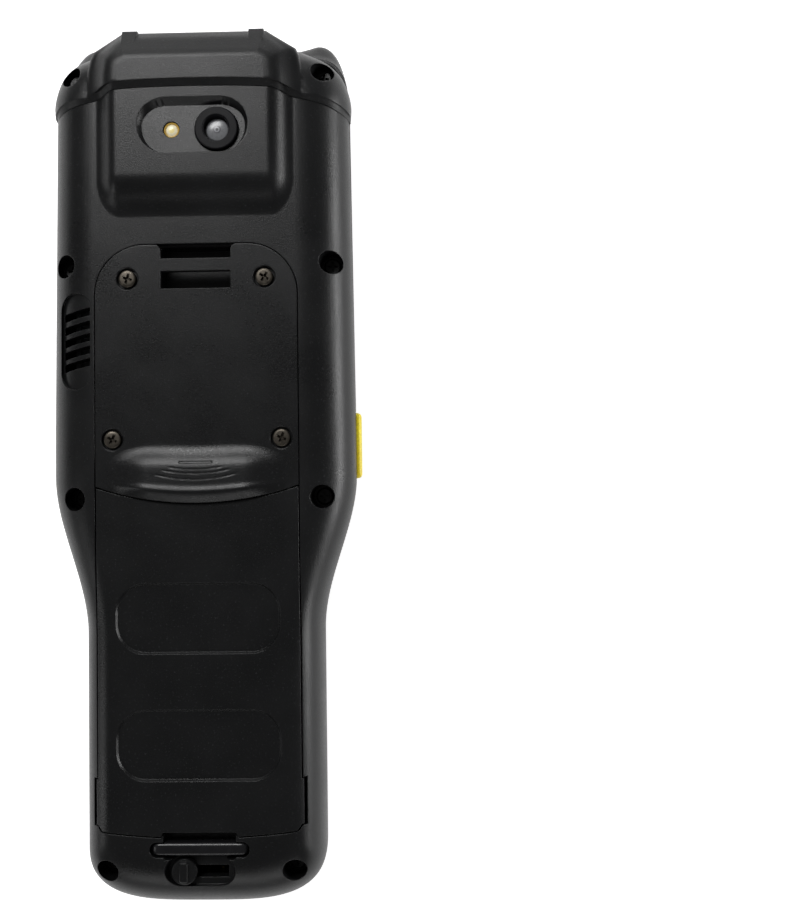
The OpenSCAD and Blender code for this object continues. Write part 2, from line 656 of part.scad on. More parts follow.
module cover_plate() {
    color("#2c2e30") difference() {
        union() {
            translate([0, 0, plate_z + 0.05]) linear_extrude(plate_t - 0.05) plate_plan(0);
            finger_ridge();
        }
        box([-strap_x, strap_x], STRAP_SLOT, [0, FAR]);
        box([-strap_x, strap_x], [STRAP_MOUTH, FAR], [0, FAR]);
        both_sides() for (s = PLATE_SCREWS) {
            pin(s, head_d / 2 + 0.4, plate_z + 0.8, FAR);
            pin(s, shank_d / 2 + 0.3, 0, FAR);
        }
    }
}

module cover_plate_screws() {
    color("#57544e") both_sides() for (s = PLATE_SCREWS) screw(s, plate_z + 0.8, 4.6);
}

module housing_screws() {
    color("#3a3a3a") both_sides() for (s = HOUSING_SCREWS) screw(s, SCREW_SEAT, 9.5);
}

module cap_screws() {
    color("#3a3a3a") both_sides() screw(CAP_SCREW, CAP_SEAT, 10.5);
}

// ---- battery, door and lock --------------------------------------------------------------

module battery_pack() {
    color("#1f2a44") difference() {
        translate([0, (BAY_Y[0] + BAY_Y[1]) / 2 + 1.4, 0])
            slab(rounded(2 * BAY_X - 3.4, BAY_Y[1] - BAY_Y[0] - 3.6, 3), BAY_FLOOR + 0.3, 20.4);
        box([-6, 6], [BAY_Y[1] - 1.6, BAY_Y[1]], [BAY_FLOOR, 14]);
    }
}

module battery_contacts() {
    color("#c9a24a") for (x = [-4.5, -1.5, 1.5, 4.5])
        box([x - 0.6, x + 0.6], [BAY_Y[1] - 1.4, BAY_Y[1] - 0.05], [BAY_FLOOR + 1, 12.6]);
}

module battery_door() {
    color("#2a2c2e") {
        difference() {
            intersection() {
                rear_body();
                translate([0, 0, seam_z + 1]) linear_extrude(FAR) door_plan(0);
            }
            under_door(door_t);
            for (y = DOOR_PADS) translate([0, y, 0])
                slab(rounded(PAD_SIZE[0], PAD_SIZE[1], PAD_R), back_z - PAD_DEPTH, FAR);
        }
        // tongues that hook under the cover plate, and the catch for the lock
        both_sides() difference() {
            union() {
                box([DOOR_LUG_X - 3, DOOR_LUG_X + 3], [-12, -4.4], [21.4, plate_z - 0.4]);
                box([DOOR_LUG_X - 3, DOOR_LUG_X + 3], [-12, -10.8], [21.4, plate_z + 0.2]);
            }
            box([DOOR_LUG_X - 4, DOOR_LUG_X + 4], [-4.8, -4], [21, 21.8]);
        }
        box([6.2, 7.6], CATCH_Y, [15.2, plate_z + 0.2]);
        box([2.6, 7.6], CATCH_Y, [15.2, 16.5]);
    }
}

module door_lock() {
    color("#1b1c1e") {
        pin([KNOB_X, LOCK_Y], KNOB_R, LOCK_FLOOR + 0.3, back_z - 0.9);
        box([KNOB_X - 1.1, KNOB_X + 1.1], [LOCK_Y - 2.25, LOCK_Y + 2.25],
            [back_z - 0.9 - EPS, back_z - 0.2]);
        box([KNOB_X - 1, KNOB_X + 1], [LOCK_Y - 1, LOCK_Y + 1], [ARM_Z[0], LOCK_FLOOR + 0.4]);
        box([KNOB_X - 1, KNOB_X + 1.6], [LOCK_Y - 1, -83.6], ARM_Z);
    }
}

module strap_bar() {
    color("#141516") translate([-BAR_X, BAR_Y, BAR_Z]) rotate([0, 90, 0])
        cylinder(r = BAR_R, h = 2 * BAR_X);
}

// ---- electronics -------------------------------------------------------------------------

module main_board() {
    color("#23543a") difference() {
        union() {
            box([-30, 30], [8, 80], [7, 8.2]);
            box([-26, 26], [-8, 8.5], [7, 8.2]);
            box([-20, -4], [14, 34], [8.2 - EPS, 10.2]);
            box([4, 22], [20, 42], [8.2 - EPS, 9.8]);
            box([-22, 20], [52, 70], [8.2 - EPS, 10.6]);
        }
        both_sides() pin(HOUSING_SCREWS[0], BOSS_R + 0.4, 0, FAR);
    }
}

module trigger_switches() {
    color("#b9bcc0") both_sides() {
        box([26.2, 29.4], [TRIGGER_Y - 3, TRIGGER_Y + 3], [7, 12]);
        box([29.4 - EPS, 31], [TRIGGER_Y - 1.5, TRIGGER_Y + 1.5], [8.4, 10.8]);
    }
}

module lcd_module() {
    color("#33383d") translate([0, LCD_Y, 0]) slab(rounded(LCD[0], LCD[1], 0.8), GLASS_Z[1] + 0.1,
        5.4);
}

module touch_glass() {
    color("#101215") translate([0, GLASS_Y, 0]) slab(rounded(GLASS[0], GLASS[1], 4.9),
        GLASS_Z[0], GLASS_Z[1]);
}

module keypad_mat() {
    color("#6a6d70") box(KEYPAD_X, KEYPAD_Y, [4.8, 5.5]);
}

module keypad_board() {
    color("#23543a") box(KEYPAD_X, KEYPAD_Y, [5.6, 6.6]);
}

module charge_contacts() {
    color("#c9a24a") for (x = [-6, -2, 2, 6]) translate([x, -end_y + 0.4, 6]) rotate([-90, 0, 0])
        cylinder(r = 1, h = 5);
}

// ---- keys and triggers -------------------------------------------------------------------

module key(k) {
    color(k[6]) translate([k[1], k[2], 0]) {
        slab(rounded(k[3], k[4], k[5]), KEY_FACE, FRONT_SKIN + KEY_GAP + EPS);
        slab(rounded(k[3] + 2 * FLANGE_OUT, k[4] + 2 * FLANGE_OUT, k[5]),
            FRONT_SKIN + KEY_GAP, FRONT_SKIN + KEY_GAP + FLANGE_T);
    }
}

module side_trigger(side) {
    color(KEY_YELLOW) mirror([side < 0 ? 1 : 0, 0, 0]) {
        box([32, head_x + trigger_proud], [TRIGGER_Y - trigger_len / 2,
            TRIGGER_Y + trigger_len / 2], TRIGGER_Z);
        box([32, TRIGGER_IN - 0.1], [TRIGGER_Y - trigger_len / 2 - 0.9,
            TRIGGER_Y + trigger_len / 2 + 0.9], [TRIGGER_Z[0] - 0.6, TRIGGER_Z[1] + 0.5]);
    }
}

rear_housing();
front_housing();
housing_gasket();
top_cap();
scan_window();
scan_engine();
camera_ring();
camera_lens();
camera_module();
flash_led();
nfc_antenna();
cover_plate();
cover_plate_screws();
housing_screws();
cap_screws();
speaker();
earpiece();
battery_pack();
battery_contacts();
strap_bar();
main_board();
lcd_module();
touch_glass();
keypad_mat();
keypad_board();
charge_contacts();
trigger_switches();
battery_door();
door_lock();
side_trigger(1);  // side_trigger_right
side_trigger(-1);  // side_trigger_left
for (k = KEYS) key(k);
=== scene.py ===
"""Looks of a portable barcode data terminal, built around its fixed frame.

Lengths in the shape functions are millimetres; a mesh is scaled to metres when it is made.
"""

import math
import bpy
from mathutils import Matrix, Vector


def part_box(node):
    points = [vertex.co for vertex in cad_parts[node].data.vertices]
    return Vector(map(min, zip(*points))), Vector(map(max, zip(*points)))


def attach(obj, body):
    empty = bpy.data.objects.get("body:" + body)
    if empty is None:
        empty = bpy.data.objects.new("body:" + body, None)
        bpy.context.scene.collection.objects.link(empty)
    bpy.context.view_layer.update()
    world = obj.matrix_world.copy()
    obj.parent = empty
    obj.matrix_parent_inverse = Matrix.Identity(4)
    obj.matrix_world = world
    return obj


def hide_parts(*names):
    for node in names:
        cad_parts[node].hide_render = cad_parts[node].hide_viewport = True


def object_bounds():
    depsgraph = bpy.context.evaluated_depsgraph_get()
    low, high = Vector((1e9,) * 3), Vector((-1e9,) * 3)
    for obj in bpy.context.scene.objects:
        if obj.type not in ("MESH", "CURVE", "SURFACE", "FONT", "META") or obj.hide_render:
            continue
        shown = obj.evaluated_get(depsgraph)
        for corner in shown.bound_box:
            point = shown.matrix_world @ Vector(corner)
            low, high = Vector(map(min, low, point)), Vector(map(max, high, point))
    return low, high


bl_info = {
    "name": "Barcode data terminal",
    "version": (1, 0, 0),
    "blender": (4, 5, 0),
    "location": "View3D > Sidebar > Terminal",
    "description": "Builds the finish of a portable barcode data terminal around its frame",
    "category": "Object",
}

import bmesh
import bpy
from mathutils import Matrix, Vector

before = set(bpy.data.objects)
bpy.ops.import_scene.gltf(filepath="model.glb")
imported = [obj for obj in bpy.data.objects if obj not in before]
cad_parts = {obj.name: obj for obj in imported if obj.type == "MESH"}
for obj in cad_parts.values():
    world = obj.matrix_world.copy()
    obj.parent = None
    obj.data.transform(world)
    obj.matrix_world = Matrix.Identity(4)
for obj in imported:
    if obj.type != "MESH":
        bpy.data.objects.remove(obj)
CAD_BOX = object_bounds()
BODY = "terminal"
MM = 0.001

# Lengths shared by several pieces
SEAM_Z = 13.0  # where the two housings meet
BACK_Z = 25.0  # the flat back
BUMP_Z = 28.5  # top of the camera bump
CAP_Z = 29.5  # top of the cap
END_Y = -CAD_BOX[0].y / MM  # from the origin to the low end
NOSE_Y = END_Y - 0.1  # and to the window nose
HEAD_X = 37.05  # half the width of the head
TAPER_Y = 5.0  # beyond here the head narrows
TAPER = 0.0105  # by this share of the way
GRIP_X = 28.85  # half the width of the grip
WAIST = (-42.0, -4.0)  # the stretch between the grip's width and the head's
SHOULDER = 12.6  # width of a rounded shoulder at the head
GRIP_SHARE = 0.64  # and its share of that at the grip
END_START = -93.0  # where the low end begins to curve
REAR_TOP_Y = 94.0  # end of the rear housing before the seam cuts it
SEAM_Y = 88.0  # where the cap's seam is measured from
OVER = 60.0  # a height over everything, where upright cutters end

# Camera
LENS = (5.8, 77.6)
LAMP = (-5.0, 77.7)
RECESS = (0.2, 78.6)
RECESS_SIZE = (26.4, 13.4)
RECESS_R = 6.6
RECESS_FLOOR = 27.1

# Screws, on the right side
HOUSING_SCREWS = [(32.0, 46.6), (29.5, -9.4), (22.1, -97.0)]
CAP_SCREW = (30.4, 92.7)
PLATE_SCREWS = [(16.35, 42.9), (20.1, 4.65)]
SCREW_HOLE_R = 1.3
PILOT_R = 1.05  # holes that a screw's thread bites into
WELL_R = 2.8  # wells over the housing screws

# Cover plate and its strap slot
PLATE_X = 24.2
PLATE_TOP = 51.0
PLATE_R = 12.0
PLATE_EDGE_R = 75.2  # its lower edge is an arc of this radius
PLATE_EDGE_Y = 64.7  # about this place on the middle line
PLATE_SEAT = 23.8  # where its screws' heads rest
STRAP_X = 8.35
STRAP_SLOT = (40.4, 44.6)
STRAP_MOUTH = 47.6  # the mouth above the slot reaches from here to the plate's end
RIDGE_X = 22.0  # half the width of the finger ridge

# Battery door, its lock and the strap bar
DOOR_X = 24.0
DOOR_EDGE_R = 180.8
DOOR_EDGE_Y = 92.0
DOOR_TAB_Y = (-86.0, -75.4)  # the grips at its sides
DOOR_PADS = (-37.7, -67.4)  # middles of its shallow pads
LOCK = (-3.9, -97.1)
LOCK_RECESS = (15.7, 7.0)
LOCK_RECESS_R = 3.4
BAR_Y = -91.65
BAR_Z = 23.2

# Speaker grille
SPEAKER = (-29.1, 28.3)
SPEAKER_SLOTS = (24, 26.95, 29.95, 32.95, 36.1)

# Side triggers
TRIGGER_Y = 3.05
TRIGGER_Z = 9.35

# Camera of the stage, in metres and degrees
VIEW_FROM = (0.05385, -0.00741, 0.27455)
VIEW_TURN = (1.63, 1.351, -0.727)
VIEW_LENS = 41.87


def mix(a, b, t):
    return a + (b - a) * t


def ease(t):
    t = min(1.0, max(0.0, t))
    return t * t * (3 - 2 * t)


def eased_ramp(t, r=0.25):
    """0 to 1 as t goes from 0 to 1: a straight ramp with both its ends rounded over r."""
    t = min(1.0, max(0.0, t))
    if t < r:
        return t * t / (2 * r * (1 - r))
    if t > 1 - r:
        return 1 - (1 - t) ** 2 / (2 * r * (1 - r))
    return (t - r / 2) / (1 - r)


# ---- outlines, clockwise seen from above ------------------------------------------------------


def waist_share(y):
    """0 at the grip, 1 at the head."""
    return ease((y - WAIST[0]) / (WAIST[1] - WAIST[0]))


def side_x(y):
    """Half the terminal's width at a place along it."""
    if y > WAIST[1]:
        return HEAD_X - TAPER * max(0.0, y - TAPER_Y)
    return mix(GRIP_X, HEAD_X, waist_share(y))


def steps(a, b, n):
    return [mix(a, b, i / n) for i in range(n + 1)]


def shoulder_share(y):
    """The shoulders take up less of the width at the grip than at the head."""
    return mix(GRIP_SHARE, 1, waist_share(y))


def end_curve(d, n=40):
    """The right half of the low end, d inside the outline: a squarish quarter curve."""
    start = END_START + 0.35 * d
    deep = start + END_Y - d
    wide = GRIP_X - d * GRIP_SHARE
    points = []
    for i in range(n + 1):
        a = math.pi / 2 * i / n
        points.append((wide * max(0.0, math.cos(a)) ** 0.565, start - deep * math.sin(a) ** 0.8))
    return points


def both(right, last=False):
    """A right half and its mirror image; a last point on the middle line isn't repeated."""
    left = right if last else right[:-1]
    return right + [(-x, y) for x, y in reversed(left)]


def mirrored(places):
    """Places on the right side, then their mirror images."""
    return [(side * x, y) for side in (1, -1) for x, y in places]


def side_stations():
    """Places along the sides, from the head to the grip."""
    return [6.0] + steps(WAIST[1], WAIST[0], 40)


def rear_outline(d, far_y):
    """The back's outline, d inside the widest one at the head, cut straight at far_y."""
    right = [(side_x(y) - d * shoulder_share(y), y) for y in [far_y] + side_stations()]
    return both(right + end_curve(d))


def rear_rings(lower=0.0, shrink=0.0, count=24):
    """Rings from the seam up the rounded shoulders to the flat back."""
    rings = []
    for k in range(count + 1):
        a = math.pi / 2 * k / count
        z = SEAM_Z + (BACK_Z - SEAM_Z) * math.sin(a) - lower * math.sin(a)
        d = SHOULDER * (1 - math.cos(a)) + shrink * math.cos(a)
        rings.append(level(rear_outline(d, REAR_TOP_Y - 4 * (1 - math.cos(a))), z))
    return rings


def under_back(t):
    """A solid up to the surface that lies t under the back, for hollowing door and housing."""
    pairs = []
    for k in range(12):
        a = math.pi / 2 * mix(0.4, 1, k / 11)
        pairs.append((t + (SHOULDER - t / 2) * (1 - math.cos(a)),
                      SEAM_Z + (BACK_Z - SEAM_Z - t) * math.sin(a)))
    pairs.insert(0, (pairs[0][0], 5.0))
    return loft([level(rear_outline(d, 40), z) for d, z in pairs])


def rear_height(x, edge):
    """Height of the rounded shoulder at x, where the head's side is at edge."""
    d = edge - abs(x)
    if d >= SHOULDER:
        return BACK_Z
    return SEAM_Z + (BACK_Z - SEAM_Z) * math.sqrt(max(0.0, 1 - (1 - d / SHOULDER) ** 2))


def smoothed(points, rounds=2):
    """Chaikin's corner cutting, with the ends kept."""
    for _ in range(rounds):
        out = [points[0]]
        for a, b in zip(points, points[1:]):
            out.append(tuple(mix(p, q, 0.25) for p, q in zip(a, b)))
            out.append(tuple(mix(p, q, 0.75) for p, q in zip(a, b)))
        points = out + [points[-1]]
    return points


def inset(points, d):
    """A closed outline moved inwards by d."""
    n = len(points)
    out = []
    for i in range(n):
        a, b = points[(i + 1) % n], points[i - 1]
        rx, ry = a[0] - b[0], a[1] - b[1]
        run = math.hypot(rx, ry)
        out.append((points[i][0] + d * ry / run, points[i][1] - d * rx / run))
    return out


def rounded(w, h, r, at=(0, 0), n=12):
    """A rectangle with round corners."""
    points = []
    for q in range(4):
        for i in range(n + 1):
            a = math.pi / 2 * (q + i / n)
            sx = 1 if q in (0, 3) else -1
            sy = 1 if q < 2 else -1
            points.append((at[0] + sx * (w / 2 - r) + r * math.cos(a),
                           at[1] + sy * (h / 2 - r) + r * math.sin(a)))
    return points


def arc_edge(radius, middle_y, half, n=48):
    """The lower arc of a circle about (0, middle_y), from +half to -half across."""
    return [(x, middle_y - math.sqrt(radius ** 2 - x * x)) for x in steps(half, -half, n)]


def edge_y(x):
    """The cover plate's lower edge."""
    return PLATE_EDGE_Y - math.sqrt(PLATE_EDGE_R ** 2 - x * x)


def corner(middle, r, start, end, n=16):
    """An arc between two angles in degrees."""
    return [(middle[0] + r * math.cos(math.radians(a)), middle[1] + r * math.sin(math.radians(a)))
            for a in steps(start, end, n)]


def plate_outline(g=0.0):
    """The cover plate's outline, grown by g."""
    top, x = PLATE_TOP + g, PLATE_X + g
    r = PLATE_R + g
    upper = corner((-x + r, top - r), r, 180, 90) + corner((x - r, top - r), r, 90, 0)
    return upper + arc_edge(PLATE_EDGE_R + g, PLATE_EDGE_Y, x)


def door_outline(g=0.0, tab=0.9, gap=0.3):
    """The battery door's outline, grown by g, with tabs at its sides and a gap to the plate."""
    x = DOOR_X + g
    top = arc_edge(PLATE_EDGE_R + gap - g, PLATE_EDGE_Y, x)[::-1]
    low = arc_edge(DOOR_EDGE_R + g, DOOR_EDGE_Y, x)
    notch = 8.6 - g
    low_right = [p for p in low if p[0] > notch] + [(notch, -87.6 - g)]
    right = [(x, DOOR_TAB_Y[1] + g), (x + tab, DOOR_TAB_Y[1] + g), (x + tab, DOOR_TAB_Y[0] - g),
             (x, DOOR_TAB_Y[0] - g)]
    side = right + low_right[1:]
    return top + side + [(-px, py) for px, py in reversed(side)]


# ---- mesh building -------------------------------------------------------------------------------


def level(outline, z):
    """An outline as a ring at one height."""
    return [(x, y, z) for x, y in outline]


def solid(name, verts, faces):
    """A closed mesh from points in millimetres, with its normals outwards."""
    mesh = bpy.data.meshes.new(name)
    mesh.from_pydata([Vector(v) * MM for v in verts], [], faces)
    work = bmesh.new()
    work.from_mesh(mesh)
    bmesh.ops.recalc_face_normals(work, faces=work.faces)
    work.to_mesh(mesh)
    work.free()
    piece = bpy.data.objects.new(name, mesh)
    bpy.context.scene.collection.objects.link(piece)
    return piece


def loft(rings, name="cutter", closed=False):
    """A solid through rings of as many points each; a closed one has no end faces."""
    n, m = len(rings[0]), len(rings)
    faces = []
    if not closed:
        faces = [tuple(range(n)), tuple(range((m - 1) * n, m * n))]
    for k in range(m if closed else m - 1):
        low, high = k * n, (k + 1) % m * n
        for i in range(n):
            j = (i + 1) % n
            faces.append((low + i, low + j, high + j, high + i))
    return solid(name, [p for ring in rings for p in ring], faces)


def prism(outline, z0, z1):
    return loft([level(outline, z0), level(outline, z1)])


def block(x, y, z):
    return prism([(x[0], y[0]), (x[0], y[1]), (x[1], y[1]), (x[1], y[0])], *z)


def turned(at, profile, name="cutter", n=64, closed=False):
    """A body turned about an upright axis; the profile is pairs of radius and height."""
    rings = []
    for r, z in profile:
        rings.append([(at[0] + r * math.cos(2 * math.pi * i / n),
                       at[1] + r * math.sin(2 * math.pi * i / n), z) for i in range(n)])
    return loft(rings, name, closed)


def drill(at, r, low, high=OVER):
    """An upright cylinder."""
    return turned(at, [(r, low), (r, high)])


def height_field(xs, ys, top, floor):
    """A solid between a flat floor and the surface top(x, y)."""
    nx, ny = len(xs), len(ys)
    verts = [(x, y, top(x, y)) for x in xs for y in ys] + [(x, y, floor) for x in xs for y in ys]
    low = nx * ny
    faces = []
    for i in range(nx - 1):
        for j in range(ny - 1):
            a, b = i * ny + j, (i + 1) * ny + j
            faces.append((a, b, b + 1, a + 1))
    rim = [i * ny for i in range(nx)] + [(nx - 1) * ny + j for j in range(1, ny)]
    rim += [i * ny + ny - 1 for i in range(nx - 2, -1, -1)] + [j for j in range(ny - 2, 0, -1)]
    for a, b in zip(rim, rim[1:] + rim[:1]):
        faces.append((a, low + a, low + b, b))
    faces.append(tuple(low + a for a in rim))
    return solid("surface", verts, faces)


def combine(piece, others, operation="DIFFERENCE"):
    """Cuts others from a piece, or joins or intersects them with it, and removes them."""
    for other in others:
        step = piece.modifiers.new("step", "BOOLEAN")
        step.operation = operation
        step.solver = "MANIFOLD"
        step.object = other
    settle(piece)
    for other in others:
        bpy.data.objects.remove(other)
    if not piece.data.polygons:
        raise RuntimeError(piece.name + " has nothing left")
    return piece


def settle(piece):
    """Applies a piece's modifiers."""
    seen = piece.evaluated_get(bpy.context.evaluated_depsgraph_get())
    mesh = bpy.data.meshes.new_from_object(seen)
    piece.modifiers.clear()
    piece.data = mesh


def soften(piece, width, angle, segments):
    """Rounds the sharp edges of a piece."""
    edge = piece.modifiers.new("edge", "BEVEL")
    edge.width = width * MM
    edge.segments = segments
    edge.limit_method = "ANGLE"
    edge.angle_limit = math.radians(angle)
    edge.use_clamp_overlap = True
    settle(piece)


def shade(piece, angle=32):
    """Smooth shading between faces that meet at less than the angle; flat faces stay flat."""
    for face in piece.data.polygons:
        face.use_smooth = True
    piece.data.set_sharp_from_angle(angle=math.radians(angle))
    weigh = piece.modifiers.new("flat_faces_first", "WEIGHTED_NORMAL")
    weigh.weight = 100
    weigh.keep_sharp = True
    settle(piece)


def dress(piece, finish, body=BODY, replaces=()):
    """Gives a piece its material and the body that it rides on."""
    piece.data.materials.clear()
    piece.data.materials.append(finish)
    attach(piece, body)
    if replaces:
        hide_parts(*replaces)
    return piece


# ---- materials ---------------------------------------------------------------------------------


class Graph:
    """A material's nodes, added one by one and joined by name."""

    def __init__(self, name):
        self.material = bpy.data.materials.new(name)
        self.material.use_nodes = True
        self.nodes = self.material.node_tree.nodes
        self.links = self.material.node_tree.links
        self.shader = self.nodes["Principled BSDF"]
        place = self.nodes.new("ShaderNodeTexCoord")
        self.place = place.outputs["Object"]

    def add(self, kind, values=None, **inputs):
        """A node with its settings, and its inputs as numbers or as links."""
        node = self.nodes.new("ShaderNode" + kind)
        for key, value in (values or {}).items():
            setattr(node, key, value)
        for key, value in inputs.items():
            socket = node.inputs[key.replace("_", " ")]
            if isinstance(value, bpy.types.NodeSocket):
                self.links.new(value, socket)
            else:
                socket.default_value = value
        return node

    def noise(self, feature_mm, detail=3.0, rough=0.55):
        """Noise whose grains are about feature_mm across."""
        return self.add("TexNoise", Vector=self.place, Scale=1.0 / (feature_mm * MM), Detail=detail,
                        Roughness=rough).outputs["Fac"]

    def ramp(self, value, low, high, to_low, to_high):
        """A value carried from one range to another."""
        node = self.add("MapRange", Value=value)
        for key, number in (("From Min", low), ("From Max", high), ("To Min", to_low),
                            ("To Max", to_high)):
            node.inputs[key].default_value = number
        return node.outputs["Result"]

    def blend(self, factor, one, two):
        """A mix of two colours."""
        node = self.add("Mix", {"data_type": "RGBA"})
        self.links.new(factor, node.inputs[0])
        for socket, value in ((node.inputs[6], one), (node.inputs[7], two)):
            if isinstance(value, bpy.types.NodeSocket):
                self.links.new(value, socket)
            else:
                socket.default_value = (*value, 1.0)
        return node.outputs[2]

    def bump(self, height, depth_mm, normal=None):
        node = self.add("Bump", Height=height, Strength=1.0, Distance=depth_mm * MM)
        if normal is not None:
            self.links.new(normal, node.inputs["Normal"])
        return node.outputs["Normal"]

    def set(self, **inputs):
        """Sets or links the shader's inputs and returns the material."""
        for key, value in inputs.items():
            socket = self.shader.inputs[key.replace("_", " ")]
            if isinstance(value, bpy.types.NodeSocket):
                self.links.new(value, socket)
            elif socket.type == "RGBA":
                socket.default_value = (*value, 1.0)
            else:
                socket.default_value = value
        return self.material


def scaled(colour, k):
    return tuple(min(1.0, c * k) for c in colour)


SPARK_MM = 0.30  # grains of the spark texture on the moulded parts
SPECK_MM = 0.5  # specks of duller plastic
CLOUD_MM = 14.0  # cloudy patches of gloss


def moulded_plastic(name, colour, roughness, glint_lift=3.2, edge=0.0, shine=0.3):
    """Satin moulded plastic: fine spark texture, cloudy gloss, faint flecks of painted glint and rounded
    edges.
    """
    g = Graph(name)
    fine = g.noise(SPARK_MM, 4.0, 0.65)
    cloud = g.noise(CLOUD_MM, 2.0)
    # Lighter flecks stand in for the glints of the spark texture: painted highlights.
    painted_glint = g.ramp(g.noise(SPARK_MM * 1.6, 2.0), 0.62, 0.72, 0.0, 1.0)
    speck = g.noise(SPECK_MM, 1.0, 0.5)
    tone = g.blend(g.ramp(cloud, 0.35, 0.65, 0.0, 1.0), scaled(colour, 0.88), scaled(colour, 1.14))
    tone = g.blend(painted_glint, tone, scaled(colour, glint_lift))
    tone = g.blend(g.ramp(speck, 0.4, 0.6, 0.35, 0.0), tone, scaled(colour, 0.5))
    dull = g.ramp(cloud, 0.3, 0.7, roughness - 0.03, roughness + 0.03)
    gloss = g.add("Math", {"operation": "ADD"})
    g.links.new(dull, gloss.inputs[0])
    g.links.new(g.ramp(speck, 0.32, 0.68, 0.035, -0.035), gloss.inputs[1])
    rounded_normal = None
    if edge:
        rounded_normal = g.add("Bevel", {"samples": 4}, Radius=edge * MM).outputs["Normal"]
    return g.set(Base_Color=tone, Roughness=gloss.outputs[0], Specular_IOR_Level=shine,
                 Normal=g.bump(fine, 0.035, rounded_normal))


def soft_rubber(name, colour, roughness=0.62):
    """Matte rubber with a fine grain."""
    g = Graph(name)
    fine = g.noise(0.2, 3.0)
    tone = g.blend(g.ramp(g.noise(6.0), 0.35, 0.65, 0.0, 1.0), scaled(colour, 0.85),
                   scaled(colour, 1.18))
    return g.set(Base_Color=tone, Roughness=g.ramp(fine, 0.3, 0.7, roughness - 0.06, roughness + 0.06),
                 Normal=g.bump(fine, 0.006))


def polished(name, colour, roughness=0.08, coat=0.0, shine=0.5):
    """Gloss plastic with faint smears and fine wear."""
    g = Graph(name)
    smear = g.noise(5.0, 4.0, 0.6)
    tone = g.blend(g.ramp(smear, 0.4, 0.7, 0.0, 1.0), colour, scaled(colour, 1.35))
    return g.set(Base_Color=tone, Roughness=g.ramp(smear, 0.3, 0.7, roughness, roughness + 0.10),
                 Normal=g.bump(g.noise(0.8), 0.002), Coat_Weight=coat, Specular_IOR_Level=shine)


def worked_metal(name, colour, roughness):
    """Metal with fine machining marks and a mottled oxide."""
    g = Graph(name)
    mark = g.noise(0.15, 5.0, 0.7)
    patch = g.noise(1.6, 3.0)
    tone = g.blend(g.ramp(patch, 0.4, 0.65, 0.0, 1.0), scaled(colour, 0.72), scaled(colour, 1.2))
    return g.set(Base_Color=tone, Metallic=1.0, Normal=g.bump(mark, 0.004),
                 Roughness=g.ramp(mark, 0.3, 0.7, roughness - 0.08, roughness + 0.10))


def solder_mask(name, colour):
    """Lacquer of a circuit board over its tracks."""
    g = Graph(name)
    tracks = g.add("TexVoronoi", {"feature": "DISTANCE_TO_EDGE"}, Vector=g.place, Scale=420.0)
    lines = g.ramp(tracks.outputs["Distance"], 0.02, 0.06, 1.0, 0.0)
    tone = g.blend(lines, colour, scaled(colour, 1.9))
    return g.set(Base_Color=tone, Roughness=g.ramp(g.noise(1.0), 0.3, 0.7, 0.3, 0.42),
                 Normal=g.bump(lines, 0.01))


def tinted_glass(name, colour):
    """Dark polished glass with faint smears."""
    g = Graph(name)
    smear = g.noise(9.0, 4.0)
    tone = g.blend(g.ramp(smear, 0.4, 0.7, 0.0, 1.0), colour, scaled(colour, 1.3))
    return g.set(Base_Color=tone, Roughness=g.ramp(smear, 0.35, 0.75, 0.05, 0.12),
                 Coat_Weight=0.6, IOR=1.5)


RING_BLUR = 0.12  # softness of the rings' edges in millimetres


def ringed_lens(name, middle, bands):
    """Coloured rings about an upright axis: pairs of outer radius in millimetres and colour."""
    g = Graph(name)
    shift = g.add("VectorMath", {"operation": "SUBTRACT"})
    g.links.new(g.place, shift.inputs[0])
    shift.inputs[1].default_value = (middle[0] * MM, middle[1] * MM, 0.0)
    flat = g.add("VectorMath", {"operation": "MULTIPLY"})
    g.links.new(shift.outputs[0], flat.inputs[0])
    flat.inputs[1].default_value = (1.0, 1.0, 0.0)
    reach = g.add("VectorMath", {"operation": "LENGTH"})
    g.links.new(flat.outputs[0], reach.inputs[0])
    distance = reach.outputs["Value"]
    tone = bands[-1][1]
    for radius, colour in reversed(bands[:-1]):
        inside = g.ramp(distance, (radius - RING_BLUR) * MM, (radius + RING_BLUR) * MM, 1.0, 0.0)
        tone = g.blend(inside, tone, colour)
    return g.set(Base_Color=tone, Roughness=g.ramp(g.noise(1.0), 0.3, 0.7, 0.22, 0.34),
                 Coat_Weight=0.2, Coat_Roughness=0.12)


FINISHES = {}


